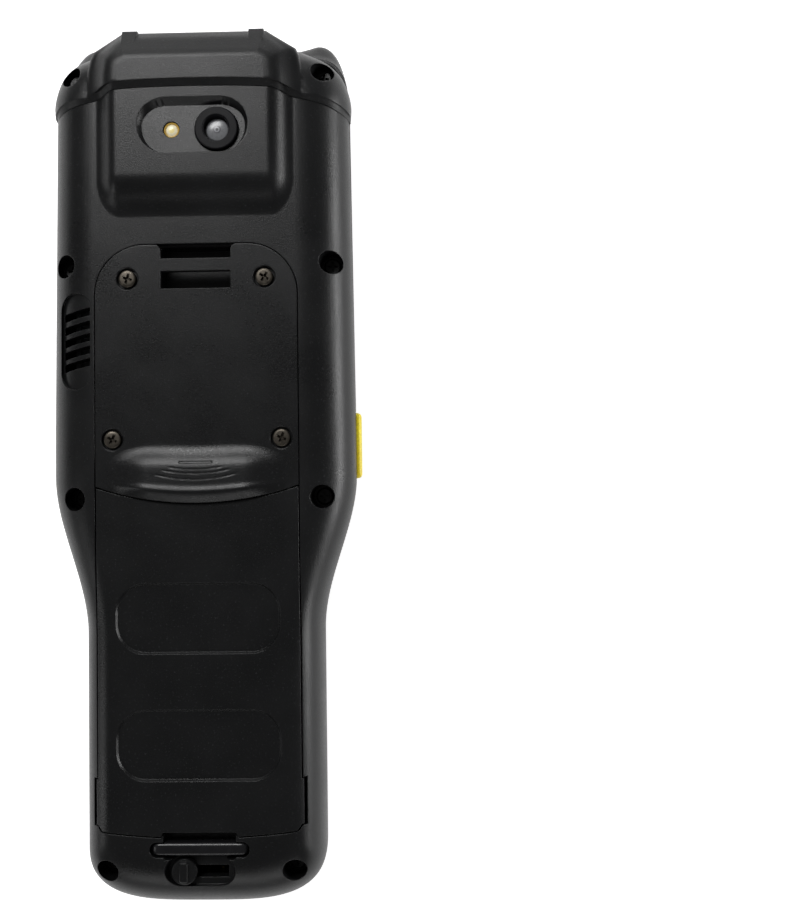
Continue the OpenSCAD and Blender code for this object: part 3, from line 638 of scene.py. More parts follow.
def make_finishes(colours):
    """Makes every material once, by the name that the pieces call it."""
    shell = tuple(colours.shell)
    yellow = tuple(colours.trigger)
    keys = tuple(colours.keys)
    FINISHES.update({
        "housing": moulded_plastic("housing_satin", shell, 0.33, edge=0.32),
        "plate": moulded_plastic("plate_satin", scaled(shell, 1.05), 0.31, edge=0.25),
        "cap": moulded_plastic("cap_satin", scaled(shell, 1.08), 0.34, edge=0.4),
        "lock": moulded_plastic("lock_satin", scaled(shell, 0.75), 0.34, edge=0.15),
        "inner": moulded_plastic("inner_black", (0.015, 0.016, 0.018), 0.5),
        "keys": soft_rubber("key_rubber", keys),
        "red_key": soft_rubber("red_key", (0.40, 0.02, 0.015)),
        "mat": soft_rubber("grey_rubber", (0.14, 0.145, 0.15)),
        "gasket": soft_rubber("black_rubber", (0.012, 0.012, 0.012)),
        "yellow": moulded_plastic("yellow_plastic", yellow, 0.42, glint_lift=1.1, shine=0.5),
        "legend": soft_rubber("legend_white", (0.75, 0.76, 0.76), 0.5),
        "gloss": polished("gloss_black", (0.008, 0.008, 0.009), 0.07, 0.5),
        "bar": polished("bar_gloss", (0.007, 0.007, 0.008), 0.2, shine=0.35),
        "ring": polished("ring_satin", (0.005, 0.005, 0.006), 0.42, shine=0.13),
        "window": tinted_glass("scan_glass", (0.05, 0.004, 0.006)),
        "display": tinted_glass("display_glass", (0.010, 0.011, 0.013)),
        # The bright band from 0.35 to 0.62 mm round the lens's dark middle is a painted highlight.
        "lens": ringed_lens("lens_glass", LENS, [
            (0.35, (0.02, 0.02, 0.025)), (0.62, (0.32, 0.33, 0.35)), (0.95, (0.10, 0.10, 0.11)),
            (2.5, (0.19, 0.195, 0.205)), (9.0, (0.06, 0.06, 0.065))]),
        "lamp": ringed_lens("led_amber", LAMP, [
            (0.7, (0.95, 0.80, 0.35)), (1.35, (0.95, 0.88, 0.62)), (9.0, (0.52, 0.33, 0.06))]),
        "cast": worked_metal("cast_grey", (0.20, 0.21, 0.22), 0.45),
        "copper": worked_metal("antenna_copper", (0.60, 0.30, 0.16), 0.3),
        "gold": worked_metal("contact_gold", (0.75, 0.55, 0.20), 0.22),
        "screw": worked_metal("bronze_screws", (0.085, 0.075, 0.062), 0.4),
        # Near-black screws, made darker still so that the deep wells they sit in read dark: partly their
        # own colour, partly painted shade.
        "dark_screw": worked_metal("dark_screws", (0.03, 0.03, 0.03), 0.4),
        "frame": worked_metal("lcd_frame", (0.45, 0.45, 0.47), 0.35),
        "switch": worked_metal("switch_metal", (0.60, 0.60, 0.62), 0.2),
        "label": moulded_plastic("battery_label", (0.014, 0.025, 0.06), 0.38),
        "board": solder_mask("board_green", (0.02, 0.11, 0.05)),
    })


# ---- settings -----------------------------------------------------------------------------------


class TerminalColours(bpy.types.PropertyGroup):
    shell: bpy.props.FloatVectorProperty(
        name="Shell", description="Colour of the housings, cap, plate and door", subtype="COLOR",
        size=3, min=0, max=1, default=(0.0065, 0.0067, 0.0071))
    trigger: bpy.props.FloatVectorProperty(
        name="Triggers", description="Colour of the side triggers and the scan key",
        subtype="COLOR", size=3, min=0, max=1, default=(1.0, 0.75, 0.02))
    keys: bpy.props.FloatVectorProperty(
        name="Keys", description="Colour of the rubber keys", subtype="COLOR", size=3, min=0,
        max=1, default=(0.03, 0.031, 0.034))


class TerminalSizes(bpy.types.PropertyGroup):
    edge: bpy.props.FloatProperty(
        name="Edge rounding", description="Rounding of the moulded edges", unit="LENGTH",
        default=0.25 * MM, min=0.05 * MM, max=0.4 * MM)
    bump_height: bpy.props.FloatProperty(
        name="Camera bump", description="Height of the camera bump above the back",
        unit="LENGTH", default=(BUMP_Z - BACK_Z) * MM, min=2 * MM, max=4 * MM)
    ridge_height: bpy.props.FloatProperty(
        name="Finger ridge", description="Height of the ridge at the plate's lower edge",
        unit="LENGTH", default=2.3 * MM, min=1 * MM, max=2.6 * MM)
    pad_depth: bpy.props.FloatProperty(
        name="Grip pads", description="Depth of the two shallow recesses in the battery door",
        unit="LENGTH", default=0.6 * MM, min=0.2 * MM, max=0.8 * MM)


class TerminalStage(bpy.types.PropertyGroup):
    upper_power: bpy.props.FloatProperty(
        name="Upper lamp", description="Power of the lamp over the scan window",
        unit="POWER", default=6.8, min=0)
    side_power: bpy.props.FloatProperty(
        name="Side lamp", description="Power of the lamp at the right side", unit="POWER",
        default=5.4, min=0)
    far_power: bpy.props.FloatProperty(
        name="Far lamp", description="Power of the low lamp beyond the scan window",
        unit="POWER", default=2.4, min=0)
    left_power: bpy.props.FloatProperty(
        name="Left lamp", description="Power of the lamp at the left side", unit="POWER",
        default=0.8, min=0)
    near_power: bpy.props.FloatProperty(
        name="Near lamp", description="Power of the weak lamp beyond the low end", unit="POWER",
        default=2.2, min=0)
    sky: bpy.props.FloatProperty(
        name="Sky", description="Light of the plain surroundings", default=0.125, min=0)


# ---- pieces ---------------------------------------------------------------------------------------


def bump_height(x, y, high):
    """Height of the camera bump over the flat back: a flat top with rounded flanks on three sides."""
    across = max(0.0, abs(x) - 17.7) / 6.4
    along = max(0.0, 67.2 - y) / 10.4
    t = math.hypot(across, along)
    return high * (1 - eased_ramp(t, 0.47)) - 0.03


def seam_curve(n=60):
    """The cap's seam, from the right end to the left end."""
    knots = smoothed([(0, -0.4), (10, -0.5), (18.5, -0.9), (21.2, -1.5), (23.6, -2.4), (26.5, -2.9),
                      (31, -3.6), (34.5, -4.5), (40, -6.2)])
    right = []
    for x in steps(40, 0, n):
        for a, b in zip(knots, knots[1:]):
            if a[0] <= x <= b[0]:
                t = (x - a[0]) / max(1e-6, b[0] - a[0])
                right.append((x, SEAM_Y + mix(a[1], b[1], t)))
                break
    return both(right)


class TERMINAL_OT_rear_housing(bpy.types.Operator):
    """Rear housing: rounded shoulders, camera bump, grille, screw wells and the seats of its covers"""
    bl_idname = "terminal.rear_housing"
    bl_label = "Rear housing"

    def execute(self, context):
        high = context.scene.terminal_sizes.bump_height / MM
        shell = loft(rear_rings(), "rear_shell")
        bump = height_field(steps(-24.3, 24.3, 108), steps(56.5, 97, 90),
                            lambda x, y: BACK_Z + bump_height(x, y, high), 20.5)
        bay = block((-23.4, 23.4), (-87, -11), (7.3, SEAM_Z + 0.5))
        combine(shell, [bump, bay], "UNION")
        combine(shell, [self.hollow()])
        combine(shell, self.seats() + self.lower_pockets() + self.screw_holes() + self.grille())
        soften(shell, 0.12, 50, 1)
        shade(shell)
        dress(shell, FINISHES["housing"], replaces=["rear_housing"])
        return {"FINISHED"}

    def hollow(self):
        """The inside, stepped under the shoulders, less its bosses and pocket walls."""
        wall = 2.6
        space = prism(rear_outline(wall, 91), 12, 17)
        combine(space, [prism(rear_outline(wall + 3.4, 92), 16, 19.6),
                        prism(rear_outline(wall + 7.4, 93), 18.6, 21.4)], "UNION")
        strap_walls = block((-STRAP_X - 1.5, STRAP_X + 1.5), (38.9, 52.5), (17.1, OVER))
        low_end = block((-14, 14), (-112, -87.3), (19.3, OVER))
        bay_walls = block((-23.4, 23.4), (-87, -11), (0, OVER))
        bosses = [drill(at, 4.2, 0) for at in mirrored(HOUSING_SCREWS)]
        bosses += [drill(at, 2.8, 17) for at in mirrored(PLATE_SCREWS)]
        return combine(space, bosses + [strap_walls, low_end, bay_walls])

    def seats(self):
        """Where the cap, camera, battery, door, plate and strap go."""
        beyond_seam = prism([(-40, 130), (40, 130)] + seam_curve(), 11, OVER)
        inside_bump = block((-15, 15), (67, 95), (SEAM_Z, BUMP_Z - 3))
        battery = block((-22.2, 22.2), (-85.8, -12.2), (8.5, 26))
        door = combine(prism(door_outline(0.3), 12, OVER), [under_back(2.3)])
        tongues = [block(x, (-13, -3.6), (20.2, 23.5)) for x in ((13.4, 20.6), (-20.6, -13.4))]
        lock_arm = block((-5.2, 5.6), (-88, -84.8), (16.9, 19.2))
        plate = prism(plate_outline(0.12), 23, OVER)
        strap = block((-STRAP_X, STRAP_X), (STRAP_SLOT[0], PLATE_TOP - 0.4), (18.3, OVER))
        return [beyond_seam, inside_bump, self.camera_recess(), drill(LENS, 5.22, 22),
                drill(LAMP, 1.95, 22), battery, door] + tongues + [lock_arm, plate, strap]

    def camera_recess(self):
        """A stadium whose floor leans a little and whose far wall leans back more than the rest."""
        rings = []
        for z, far, side in ((RECESS_FLOOR, 1.7, 0.9), (BUMP_Z + 0.05, 0.1, 0.1), (33, -0.2, -0.2)):
            ring = []
            for x, y in rounded(*RECESS_SIZE, RECESS_R, RECESS, 16):
                up = max(0.0, (y - RECESS[1]) / (RECESS_SIZE[1] / 2))
                out = (x - RECESS[0]) / (RECESS_SIZE[0] / 2)
                lean = 0.044 * (RECESS[1] - y) if z == RECESS_FLOOR else 0
                ring.append((x - side * out, y - far * up, z + lean))
            rings.append(ring)
        return loft(rings)

    def lower_pockets(self):
        """Pockets of the strap bar and the lock."""
        bar = prism(rounded(23.5, 3.6, 1.75, (0, BAR_Y)), 21.4, OVER)
        mouth = prism(rounded(17.2, 6.8, 0.8, (0, -90.6)), 20.5, OVER)
        w, h = LOCK_RECESS
        lock = prism(rounded(w, h, LOCK_RECESS_R, (0, LOCK[1])), 22, OVER)
        ledge = loft([level(rounded(w + g, h + g, LOCK_RECESS_R + g / 2, (0, LOCK[1])), z)
                      for g, z in ((0, 23.5), (1.3, 25.2), (1.3, 30))])
        stem = block((-5.3, 6.4), (-98.9, -96.1), (18.9, 22.1))
        return [bar, mouth, lock, ledge, stem]

    def screw_holes(self):
        cuts = []
        for at in mirrored(HOUSING_SCREWS):
            cuts += [drill(at, SCREW_HOLE_R, 12, 15.01), drill(at, WELL_R, 15)]
        return cuts + [drill(at, PILOT_R, 16.9) for at in mirrored(PLATE_SCREWS)]

    def grille(self):
        """The sunk oval on the left shoulder and its five slots."""
        oval = prism(rounded(8.4, 23.2, 4.15, SPEAKER), 15, 40)
        combine(oval, [loft(rear_rings(0.7, 0.7))])
        slots = [prism([(-32.5, y - 3.0), (-32.5, y - 1.1), (-25.5, y + 0.3), (-25.5, y - 1.6)], 16, 40)
                 for y in SPEAKER_SLOTS]
        return [oval] + slots


class TERMINAL_OT_front_housing(bpy.types.Operator):
    """Front housing: corner ears, window nose, key deck, display seat and trigger slots"""
    bl_idname = "terminal.front_housing"
    bl_label = "Front housing"

    # Right side of the window nose and the ear: across, along, and how far the seam's height sets it back
    nose = [(13.5, NOSE_Y, 1.6), (16.4, NOSE_Y - 0.7, 1.6), (19, 105.0, 2.5), (22.4, 103.9, 3.4),
            (25.4, 104.6, 4.7), (28.7, 105.7, 6), (31.6, 104.4, 5.4), (33.8, 101.2, 4),
            (35.4, 96, 2), (36.2, 90, 0.4), (36.3, 84, 0)]

    def outline(self, back):
        head = smoothed([(x, y - back * b) for x, y, b in self.nose])
        return both(head + [(side_x(y), y) for y in side_stations()] + end_curve(0))

    def shell(self):
        """The outside: rounded up from the display side, with the ears set back towards the seam."""
        edge, ears, count = 3.5, 7, 16
        rings = []
        for k in range(count + 1):
            a = math.pi / 2 * (count - k) / count
            z = SEAM_Z * (1 - math.sin(a))
            back = ease((z - ears) / (SEAM_Z - ears))
            rings.append(level(inset(self.outline(back), edge * (1 - math.cos(a))), z))
        return loft(rings, "front_shell")

    def execute(self, context):
        shell = self.shell()
        screws = mirrored(HOUSING_SCREWS + [CAP_SCREW])
        space = prism(inset(self.outline(1), 2.6), 3, SEAM_Z + 1)
        combine(space, [drill(at, 3.2, 2, SEAM_Z - 0.12) for at in screws])
        combine(shell, [space])
        combine(shell, [drill(at, PILOT_R, 4, 14) for at in screws] + self.display_side() + self.slots())
        combine(shell, [contact_hole(x) for x in (-6, -2, 2, 6)])
        combine(shell, [self.gasket_groove()])
        soften(shell, 0.12, 50, 1)
        shade(shell)
        dress(shell, FINISHES["housing"], replaces=["front_housing"])
        return {"FINISHED"}

    def display_side(self):
        """Seats of the glass and the display, the sunk key deck and a hole for each key."""
        glass = prism(rounded(62.64, 97.84, 5, (0, 49.6)), -1, 1.8)
        display = prism(rounded(58, 81.6, 1, (0, 47.6)), -1, 3.01)
        deck = loft([level(rounded(46.4 - g, 94 - g, 8 - g / 2, (0, -52.8)), z)
                     for g, z in ((-1.2, -0.4), (0, 0.5), (0.3, 0.8))])
        cuts = [glass, display, deck]
        for name in key_names():
            mid, w, h = key_sizes(name)[:3]
            cuts.append(prism(rounded(w + 0.6, h + 0.6, key_radius(w, h) + 0.3, mid), -1, 3.01))
        return cuts

    def slots(self):
        """Slots of the triggers, the scan window and the earpiece."""
        triggers = [block(x, (-5.45, 11.55), (6.4, 12.3)) for x in ((33.1, 60), (-60, -33.1))]
        behind_window = block((-12.4, 12.4), (96, NOSE_Y + 5), (7.2, 14))
        earpiece = block((-7, 7), (100.2, 101.6), (-1, 3.01))
        return triggers + [window_block(0.12), behind_window, earpiece]

    def gasket_groove(self):
        groove = prism(inset(self.outline(1), 0.8), SEAM_Z - 0.5, SEAM_Z + 1)
        inner_edge = prism(inset(self.outline(1), 1.7), 12, 15)
        at_window = block((-20, 20), (98, NOSE_Y + 1), (11, 15))
        return combine(groove, [inner_edge, at_window])


def window_block(grow):
    """The scan window's slab, leaning back towards the cap."""
    w, t, h = 14 + grow, 0.75 + grow, 8.5 + grow
    piece = block((-w, w), (-t, t), (-h, h))
    lean = Matrix.Rotation(math.radians(13), 4, "X")
    piece.data.transform(Matrix.Translation(Vector((0, 101.9, 14.4)) * MM) @ lean)
    return piece


def contact_hole(x):
    """A hole through the low end for a charging contact."""
    piece = drill((0, 0), 1.1, -3, 3)
    lay = Matrix.Rotation(math.radians(90), 4, "X")
    piece.data.transform(Matrix.Translation(Vector((x, -END_Y + 1, 6)) * MM) @ lay)
    return piece


class TERMINAL_OT_top_cap(bpy.types.Operator):
    """Top cap: rounded corners, the raised nose over the scan window and its two horns"""
    bl_idname = "terminal.top_cap"
    bl_label = "Top cap"

    # Right side of the corners, across and along
    corners = [(19, 100.6), (24.7, 100.2), (28.2, 98.7), (31.6, 97.2), (34.6, 94.4), (36.2, 90.6),
               (36.9, 87), (36.6, 84), (36.4, 80)]

    # Right side of the nose at its heights: front edge, two corners and the end under the seam
    nose = [
        (11, [(16.8, 105.6), (21.4, 101.6), (25.2, 99.6), (25.6, 78)]),
        (21, [(17.2, 103.2), (21.8, 100.2), (25.6, 97.9), (26.4, 78)]),
        (24.6, [(17.2, 102.1), (21.6, 99.3), (25.8, 96.8), (26.8, 78)]),
        (25.4, [(17.0, 101.5), (21.2, 98.8), (25.2, 96.0), (25.9, 78)]),
        (25.9, [(16.9, 101.0), (20.8, 98.3), (24.0, 95.5), (24.3, 78)]),
        (27.2, [(16.6, 99.6), (19.9, 97.4), (22.2, 94.8), (22.4, 78)]),
        (28.7, [(16.2, 96.9), (18.9, 95.6), (20.6, 93.2), (20.8, 78)]),
        (29.35, [(15.7, 95.2), (17.8, 94.2), (19.0, 92.2), (19.2, 78)]),
        (CAP_Z, [(15.0, 94.2), (16.6, 93.4), (17.3, 91.6), (17.4, 78)])]

    # A horn's levels: height, half its width and the reach of its tip
    horn_levels = [(17.5, 1.0, 4.2), (20, 1.6, 4.5), (25.9, 1.7, 4.5), (26.4, 1.6, 4.0),
                   (27.4, 1.5, 2.0), (28, 1.3, 0.6)]

    def execute(self, context):
        cap = combine(self.rounded_corners(), [self.nose_block(), self.horn(1), self.horn(-1)], "UNION")
        combine(cap, self.cuts())
        soften(cap, 0.2, 40, 2)
        shade(cap)
        dress(cap, FINISHES["cap"], replaces=["top_cap"])
        return {"FINISHED"}

    def rounded_corners(self, count=20):
        """The low part of the cap, from its seam with the front housing to the rounded top."""
        rings = []
        for k in range(count + 1):
            a = math.pi / 2 * k / count
            d = 11.5 * (1 - math.cos(a))
            right = smoothed([(x * (1 - d / HEAD_X), 80 + (y - 80) * (1 - 0.55 * d / 18))
                              for x, y in self.corners])
            rings.append(level(both(right, last=True), SEAM_Z + 12.4 * math.sin(a)))
        return loft(rings, "cap_shell")

    def nose_block(self):
        tracks = [smoothed([(*ring[i], z) for z, ring in self.nose]) for i in range(4)]
        rings = []
        for points in zip(*tracks):
            right = smoothed([(x, y) for x, y, z in points])
            rings.append(level(both(right, last=True), points[0][2]))
        return loft(rings)

    def horn(self, side):
        rings = []
        for z, half, tip in self.horn_levels:
            outline = [(-half - 0.7, -2.0), (-half, tip), (half + 0.2, tip), (half + 1.9, -2.0)]
            rings.append([(side * (15.0 + p), 97.5 + q, z) for p, q in outline])
        return loft(rings)

    def cuts(self):
        """What lies under the seam, and the room for the rear housing, window and screws."""
        low, near_y, far_x = 12, 60, 60
        rings = []
        for rise, shift in ((None, 0.12), (-0.1, 0.12), (0.85, 1.6), (30, 1.6)):
            ring = [(x, y + shift, low if rise is None else self.under_seam(x, y) + rise)
                    for x, y in seam_curve()]
            near_z = low if rise is None else max(14, ring[0][2])
            rings.append(ring + [(-far_x, near_y, near_z), (far_x, near_y, near_z)])
        under_band = loft(rings)
        front_housing = block((-60, 60), (60, 120), (5, SEAM_Z + 0.12))
        engine = block((-16.5, 16.5), (70, 97.2), (12, 26.8))
        rear_housing = block((-25, 25), (70, 93), (12, 21))
        behind_window = block((-12.4, 12.4), (96, NOSE_Y + 5), (12, 21.2))
        cuts = [front_housing, under_band, engine, rear_housing, window_block(0.12), behind_window]
        for at in mirrored([CAP_SCREW]):
            cuts += [drill(at, 2.7, 16), drill(at, SCREW_HOLE_R, 12, 16.01)]
        return cuts

    def under_seam(self, x, y):
        """Height of the rear housing along the seam."""
        if abs(x) < 24:
            return BACK_Z + max(0.0, bump_height(x, y, BUMP_Z - BACK_Z))
        return rear_height(x, 36.2)


class TERMINAL_OT_cover_plate(bpy.types.Operator):
    """Cover plate: strap slot and mouth, counterbores, finger ridge with engraved marks"""
    bl_idname = "terminal.cover_plate"
    bl_label = "Cover plate"

    # Finger ridge: distance from the plate's lower edge, and share of the ridge's height
    profile = smoothed([(-1, 0.1), (0, 0.42), (1.2, 0.76), (2.1, 0.96), (2.7, 1.02), (3.3, 0.96),
                        (4.0, 0.87), (5.2, 0.84), (8.4, 0.75), (10.0, 0.54), (11.6, 0.22),
                        (13.0, 0.03), (14.2, -0.013), (40, -0.013)], 3)

    # Engraved arcs: half the length, and distance below the plate's zero line
    arcs = [(6.4, 2.6), (8.2, 3.6), (9.8, 5.0)]

    def ridge(self, x, y, high):
        """Height over the plate: a dished slope up to a lip, then the drop to the lower edge."""
        across = abs(x) / RIDGE_X
        if across >= 1:
            return -0.03
        v = (y - edge_y(x)) / (1 - 0.42 * across ** 3)
        rise = -0.013
        for a, b in zip(self.profile, self.profile[1:]):
            if a[0] <= v < b[0]:
                rise = mix(a[1], b[1], (v - a[0]) / (b[0] - a[0]))
        fade = ease((1 - across) / 0.5)
        depth = self.engraving(x, y) if rise > 0.1 else 0
        return high * rise * fade - 0.03 * (1 - fade) - depth

    def engraving(self, x, y):
        """Depth of a short line and three arcs under it."""
        depth = 0.0
        if abs(x) < 3.8 and abs(y + 1.0) < 0.24:
            depth = 0.2
        for reach, down in self.arcs:
            line = -down + 1.1 * (x / 9.0) ** 2
            if abs(x) < reach and abs(y - line) < 0.2:
                depth = 0.17 * (1 - (x / reach) ** 4)
        return depth

    def execute(self, context):
        sizes = context.scene.terminal_sizes
        high = sizes.ridge_height / MM
        edge = sizes.edge / MM
        plate = loft([level(plate_outline(-g), z) for g, z in (
            (0, 23.05), (0, BACK_Z - edge), (edge * 0.3, BACK_Z - edge * 0.3), (edge, BACK_Z))],
            "cover_plate_shell")
        ridge = height_field(steps(-22.5, 22.5, 180), steps(-11.4, 4.2, 125),
                             lambda x, y: BACK_Z + self.ridge(x, y, high), 23.6)
        combine(ridge, [prism(plate_outline(0), 20, 40)], "INTERSECT")
        combine(plate, [ridge], "UNION")
        combine(plate, self.cuts())
        soften(plate, 0.14, 45, 2)
        shade(plate)
        dress(plate, FINISHES["plate"], replaces=["cover_plate"])
        return {"FINISHED"}

    def cuts(self):
        slot = block((-STRAP_X, STRAP_X), STRAP_SLOT, (0, OVER))
        r = 1.6
        left = [(-STRAP_X, STRAP_MOUTH)]
        left += corner((-STRAP_X - r, PLATE_TOP - r), r, 0, 90, 8) + [(-STRAP_X - r, OVER)]
        mouth = prism(left + [(-x, y) for x, y in reversed(left)], 0, OVER)
        cuts = [slot, mouth]
        for at in mirrored(PLATE_SCREWS):
            cuts.append(drill(at, SCREW_HOLE_R, 0))
            cuts.append(turned(at, [(2.5, PLATE_SEAT), (2.5, 24.7), (2.85, 25.1), (2.85, 40)]))
        return cuts


class TERMINAL_OT_battery_door(bpy.types.Operator):
    """Battery door: the grip's rounded back with two shallow pads, tongues and catch"""
    bl_idname = "terminal.battery_door"
    bl_label = "Battery door"

    def execute(self, context):
        depth = context.scene.terminal_sizes.pad_depth / MM
        door = loft(rear_rings(), "battery_door_shell")
        combine(door, [prism(door_outline(0, 0.5), 14, OVER)], "INTERSECT")
        combine(door, [under_back(2.0)] + [self.pad(y, depth) for y in DOOR_PADS])
        combine(door, self.hooks(), "UNION")
        soften(door, 0.14, 60, 2)
        shade(door)
        dress(door, FINISHES["plate"], "battery_door", ["battery_door"])
        return {"FINISHED"}

    def pad(self, y, depth):
        """A shallow recess with slanted sides."""
        return loft([level(rounded(39 + g, 16.7 + g, 7 + g / 2, (0, y)), z)
                     for g, z in ((-0.8, BACK_Z - depth), (0, BACK_Z), (1, BACK_Z + 1))])

    def hooks(self):
        """Two tongues that reach under the cover plate, and the catch that the lock's arm holds."""
        hooks = []
        for x in ((14, 20), (-20, -14)):
            hooks += [block(x, (-12, -4.4), (21.4, 22.6)), block(x, (-12, -10.8), (21.4, 23.2))]
        catch = [block((6.2, 7.6), (-84.6, -82.8), (15.2, 23.2)),
                 block((2.6, 7.6), (-84.6, -82.8), (15.2, 16.5))]
        return hooks + catch


class TERMINAL_OT_camera(bpy.types.Operator):
    """Camera: black lens ring, the lens and the lamp beside it"""
    bl_idname = "terminal.camera"
    bl_label = "Camera and lamp"

    # Radii, and heights under the top of the camera bump
    ring = [(5.1, 5.4), (5.1, 0.45), (5.0, 0.2), (4.8, 0.1), (3.35, 0.1), (3.2, 0.14), (3.1, 0.3),
            (2.95, 1.0), (2.9, 2.4), (2.9, 5.4)]
    lens = [(2.8, 3.4), (2.8, 1.9), (2.55, 1.75), (2.4, 1.72), (2.0, 1.62), (1.3, 1.5), (0.6, 1.43),
            (0.05, 1.41)]
    lamp = [(1.86, 4.3), (1.86, 1.75), (1.7, 1.65), (1.5, 1.7), (1.35, 1.9), (1.0, 1.75),
            (0.4, 1.65), (0.05, 1.64)]

    def body(self, at, profile, name, n, closed=False):
        return turned(at, [(r, BUMP_Z - down) for r, down in profile], name, n, closed)

    def execute(self, context):
        ring = self.body(LENS, self.ring, "lens_ring", 96, True)
        shade(ring, 12)
        dress(ring, FINISHES["ring"], replaces=["camera_ring"])
        lens = self.body(LENS, self.lens, "camera_lens_glass", 64)
        shade(lens, 50)
        dress(lens, FINISHES["lens"], replaces=["camera_lens"])
        lamp = self.body(LAMP, self.lamp, "lamp_dish", 48)
        board = block((-11, -1.6), (73.6, 81.8), (20.6, 21.3))
        post = block((-5.6, -4.4), (77.1, 78.3), (21.2, 24.3))
        combine(lamp, [post, board], "UNION")
        shade(lamp, 30)
        dress(lamp, FINISHES["lamp"], replaces=["flash_led"])
        return {"FINISHED"}


class TERMINAL_OT_screws(bpy.types.Operator):
    """The four screws of the cover plate, with low domed heads and cross recesses"""
    bl_idname = "terminal.screws"
    bl_label = "Cover plate screws"

    # Radii, and heights over the seat, of the shank and the head
    profile = [(1.0, -4.6), (1.0, 0), (2.05, 0), (2.1, 0.1), (2.1, 0.85), (2.02, 1.02),
               (1.86, 1.14), (1.5, 1.19), (0.05, 1.22)]
    # Height over the seat, half the length and half the width of the cross's arms
    cross = [(0.4, 0.5, 0.16), (1.45, 1.45, 0.36)]

    def execute(self, context):
        screws = [self.screw((x, y), 20 + 31 * (abs(x) + y) * math.copysign(1, x))
                  for x, y in mirrored(PLATE_SCREWS)]
        whole = combine(screws[0], screws[1:], "UNION")
        whole.name = "cover_plate_screw_heads"
        shade(whole, 30)
        dress(whole, FINISHES["screw"], replaces=["cover_plate_screws"])
        return {"FINISHED"}

    def screw(self, at, turn):
        head = turned(at, [(r, PLATE_SEAT + up) for r, up in self.profile], "screw", 48)
        cuts = []
        for quarter in (0, 90):
            a = math.radians(turn + quarter)
            arm = []
            for up, half, wide in self.cross:
                arm.append([(at[0] + p * math.cos(a) - q * math.sin(a),
                             at[1] + p * math.sin(a) + q * math.cos(a), PLATE_SEAT + up)
                            for p, q in ((-half, -wide), (-half, wide), (half, wide), (half, -wide))])
            cuts.append(loft(arm))
        return combine(head, cuts)


def boxed(share):
    """Turns a circle's sine or cosine into that of a rounded square."""
    return math.copysign(abs(share) ** 0.6, share)


class TERMINAL_OT_strap_and_lock(bpy.types.Operator):
    """The glossy strap bar with round ends, and the sliding lock of the battery door"""
    bl_idname = "terminal.strap_and_lock"
    bl_label = "Strap bar and lock"

    # Distance from the bar's end, and share of its full thickness there
    bar_end = [(0, 0.05), (0.12, 0.5), (0.5, 0.82), (1.1, 0.97), (1.9, 1.0)]
    knob = [(2.9, 22.3), (3.1, 22.45), (3.1, 23.7), (2.9, 24.0), (2.4, 24.1), (0.05, 24.1)]

    def execute(self, context):
        bar = self.bar(1.65, 11.4)
        shade(bar, 60)
        dress(bar, FINISHES["bar"], replaces=["strap_bar"])
        lock = turned(LOCK, self.knob, "door_lock_knob", 56)
        rib = loft([level(rounded(w, h, 0.5, LOCK), z)
                    for w, h, z in ((2.1, 4.8, 23.9), (2.0, 4.7, 24.6), (1.6, 4.3, 24.8))])
        stem = block((-4.9, -2.9), (-98.5, -96.5), (17.3, 22.4))
        arm = block((-4.9, -2.3), (-98.5, -83.6), (17.3, 18.8))
        combine(lock, [rib, stem, arm], "UNION")
        shade(lock)
        dress(lock, FINISHES["lock"], "door_lock", ["door_lock"])
        return {"FINISHED"}

    def bar(self, r, half, n=40):
        ends = [(d - half, k) for d, k in self.bar_end]
        rings = []
        for x, k in ends + [(-x, k) for x, k in reversed(ends)]:
            rings.append([(x, BAR_Y + r * k * boxed(math.cos(2 * math.pi * i / n)),
                           BAR_Z + r * k * boxed(math.sin(2 * math.pi * i / n))) for i in range(n)])
        return loft(rings, "strap_bar_rod")


KEY_FLANGE = 0.8  # width of the flange round a key's root
MARK_DEPTH = 0.1  # thickness of the marks, which stand out of the keys' faces by about half of it
MARK_SIZE = 4.6  # height of the digits' font

# Arrow keys: direction in degrees, seen from the display side
ARROWS = {"key_up": 90, "key_down": -90, "key_left": 180, "key_right": 0, "key_back": 180}
SIGNS = {"key_star": "*", "key_point": "."}


def key_names():
    return sorted(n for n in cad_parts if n.startswith("key_"))


def key_radius(w, h):
    if h > 9 and w > 14:
        return 4.7
    return 1.8 if h < 5 else 2.4


def key_sizes(name):
    """Middle, width and height of a key without its flange, and the heights of face and root."""
    low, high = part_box(name)
    mid = ((low.x + high.x) / 2 / MM, (low.y + high.y) / 2 / MM)
    w, h = (high.x - low.x) / MM - 2 * KEY_FLANGE, (high.y - low.y) / MM - 2 * KEY_FLANGE
    return mid, w, h, low.z / MM, high.z / MM


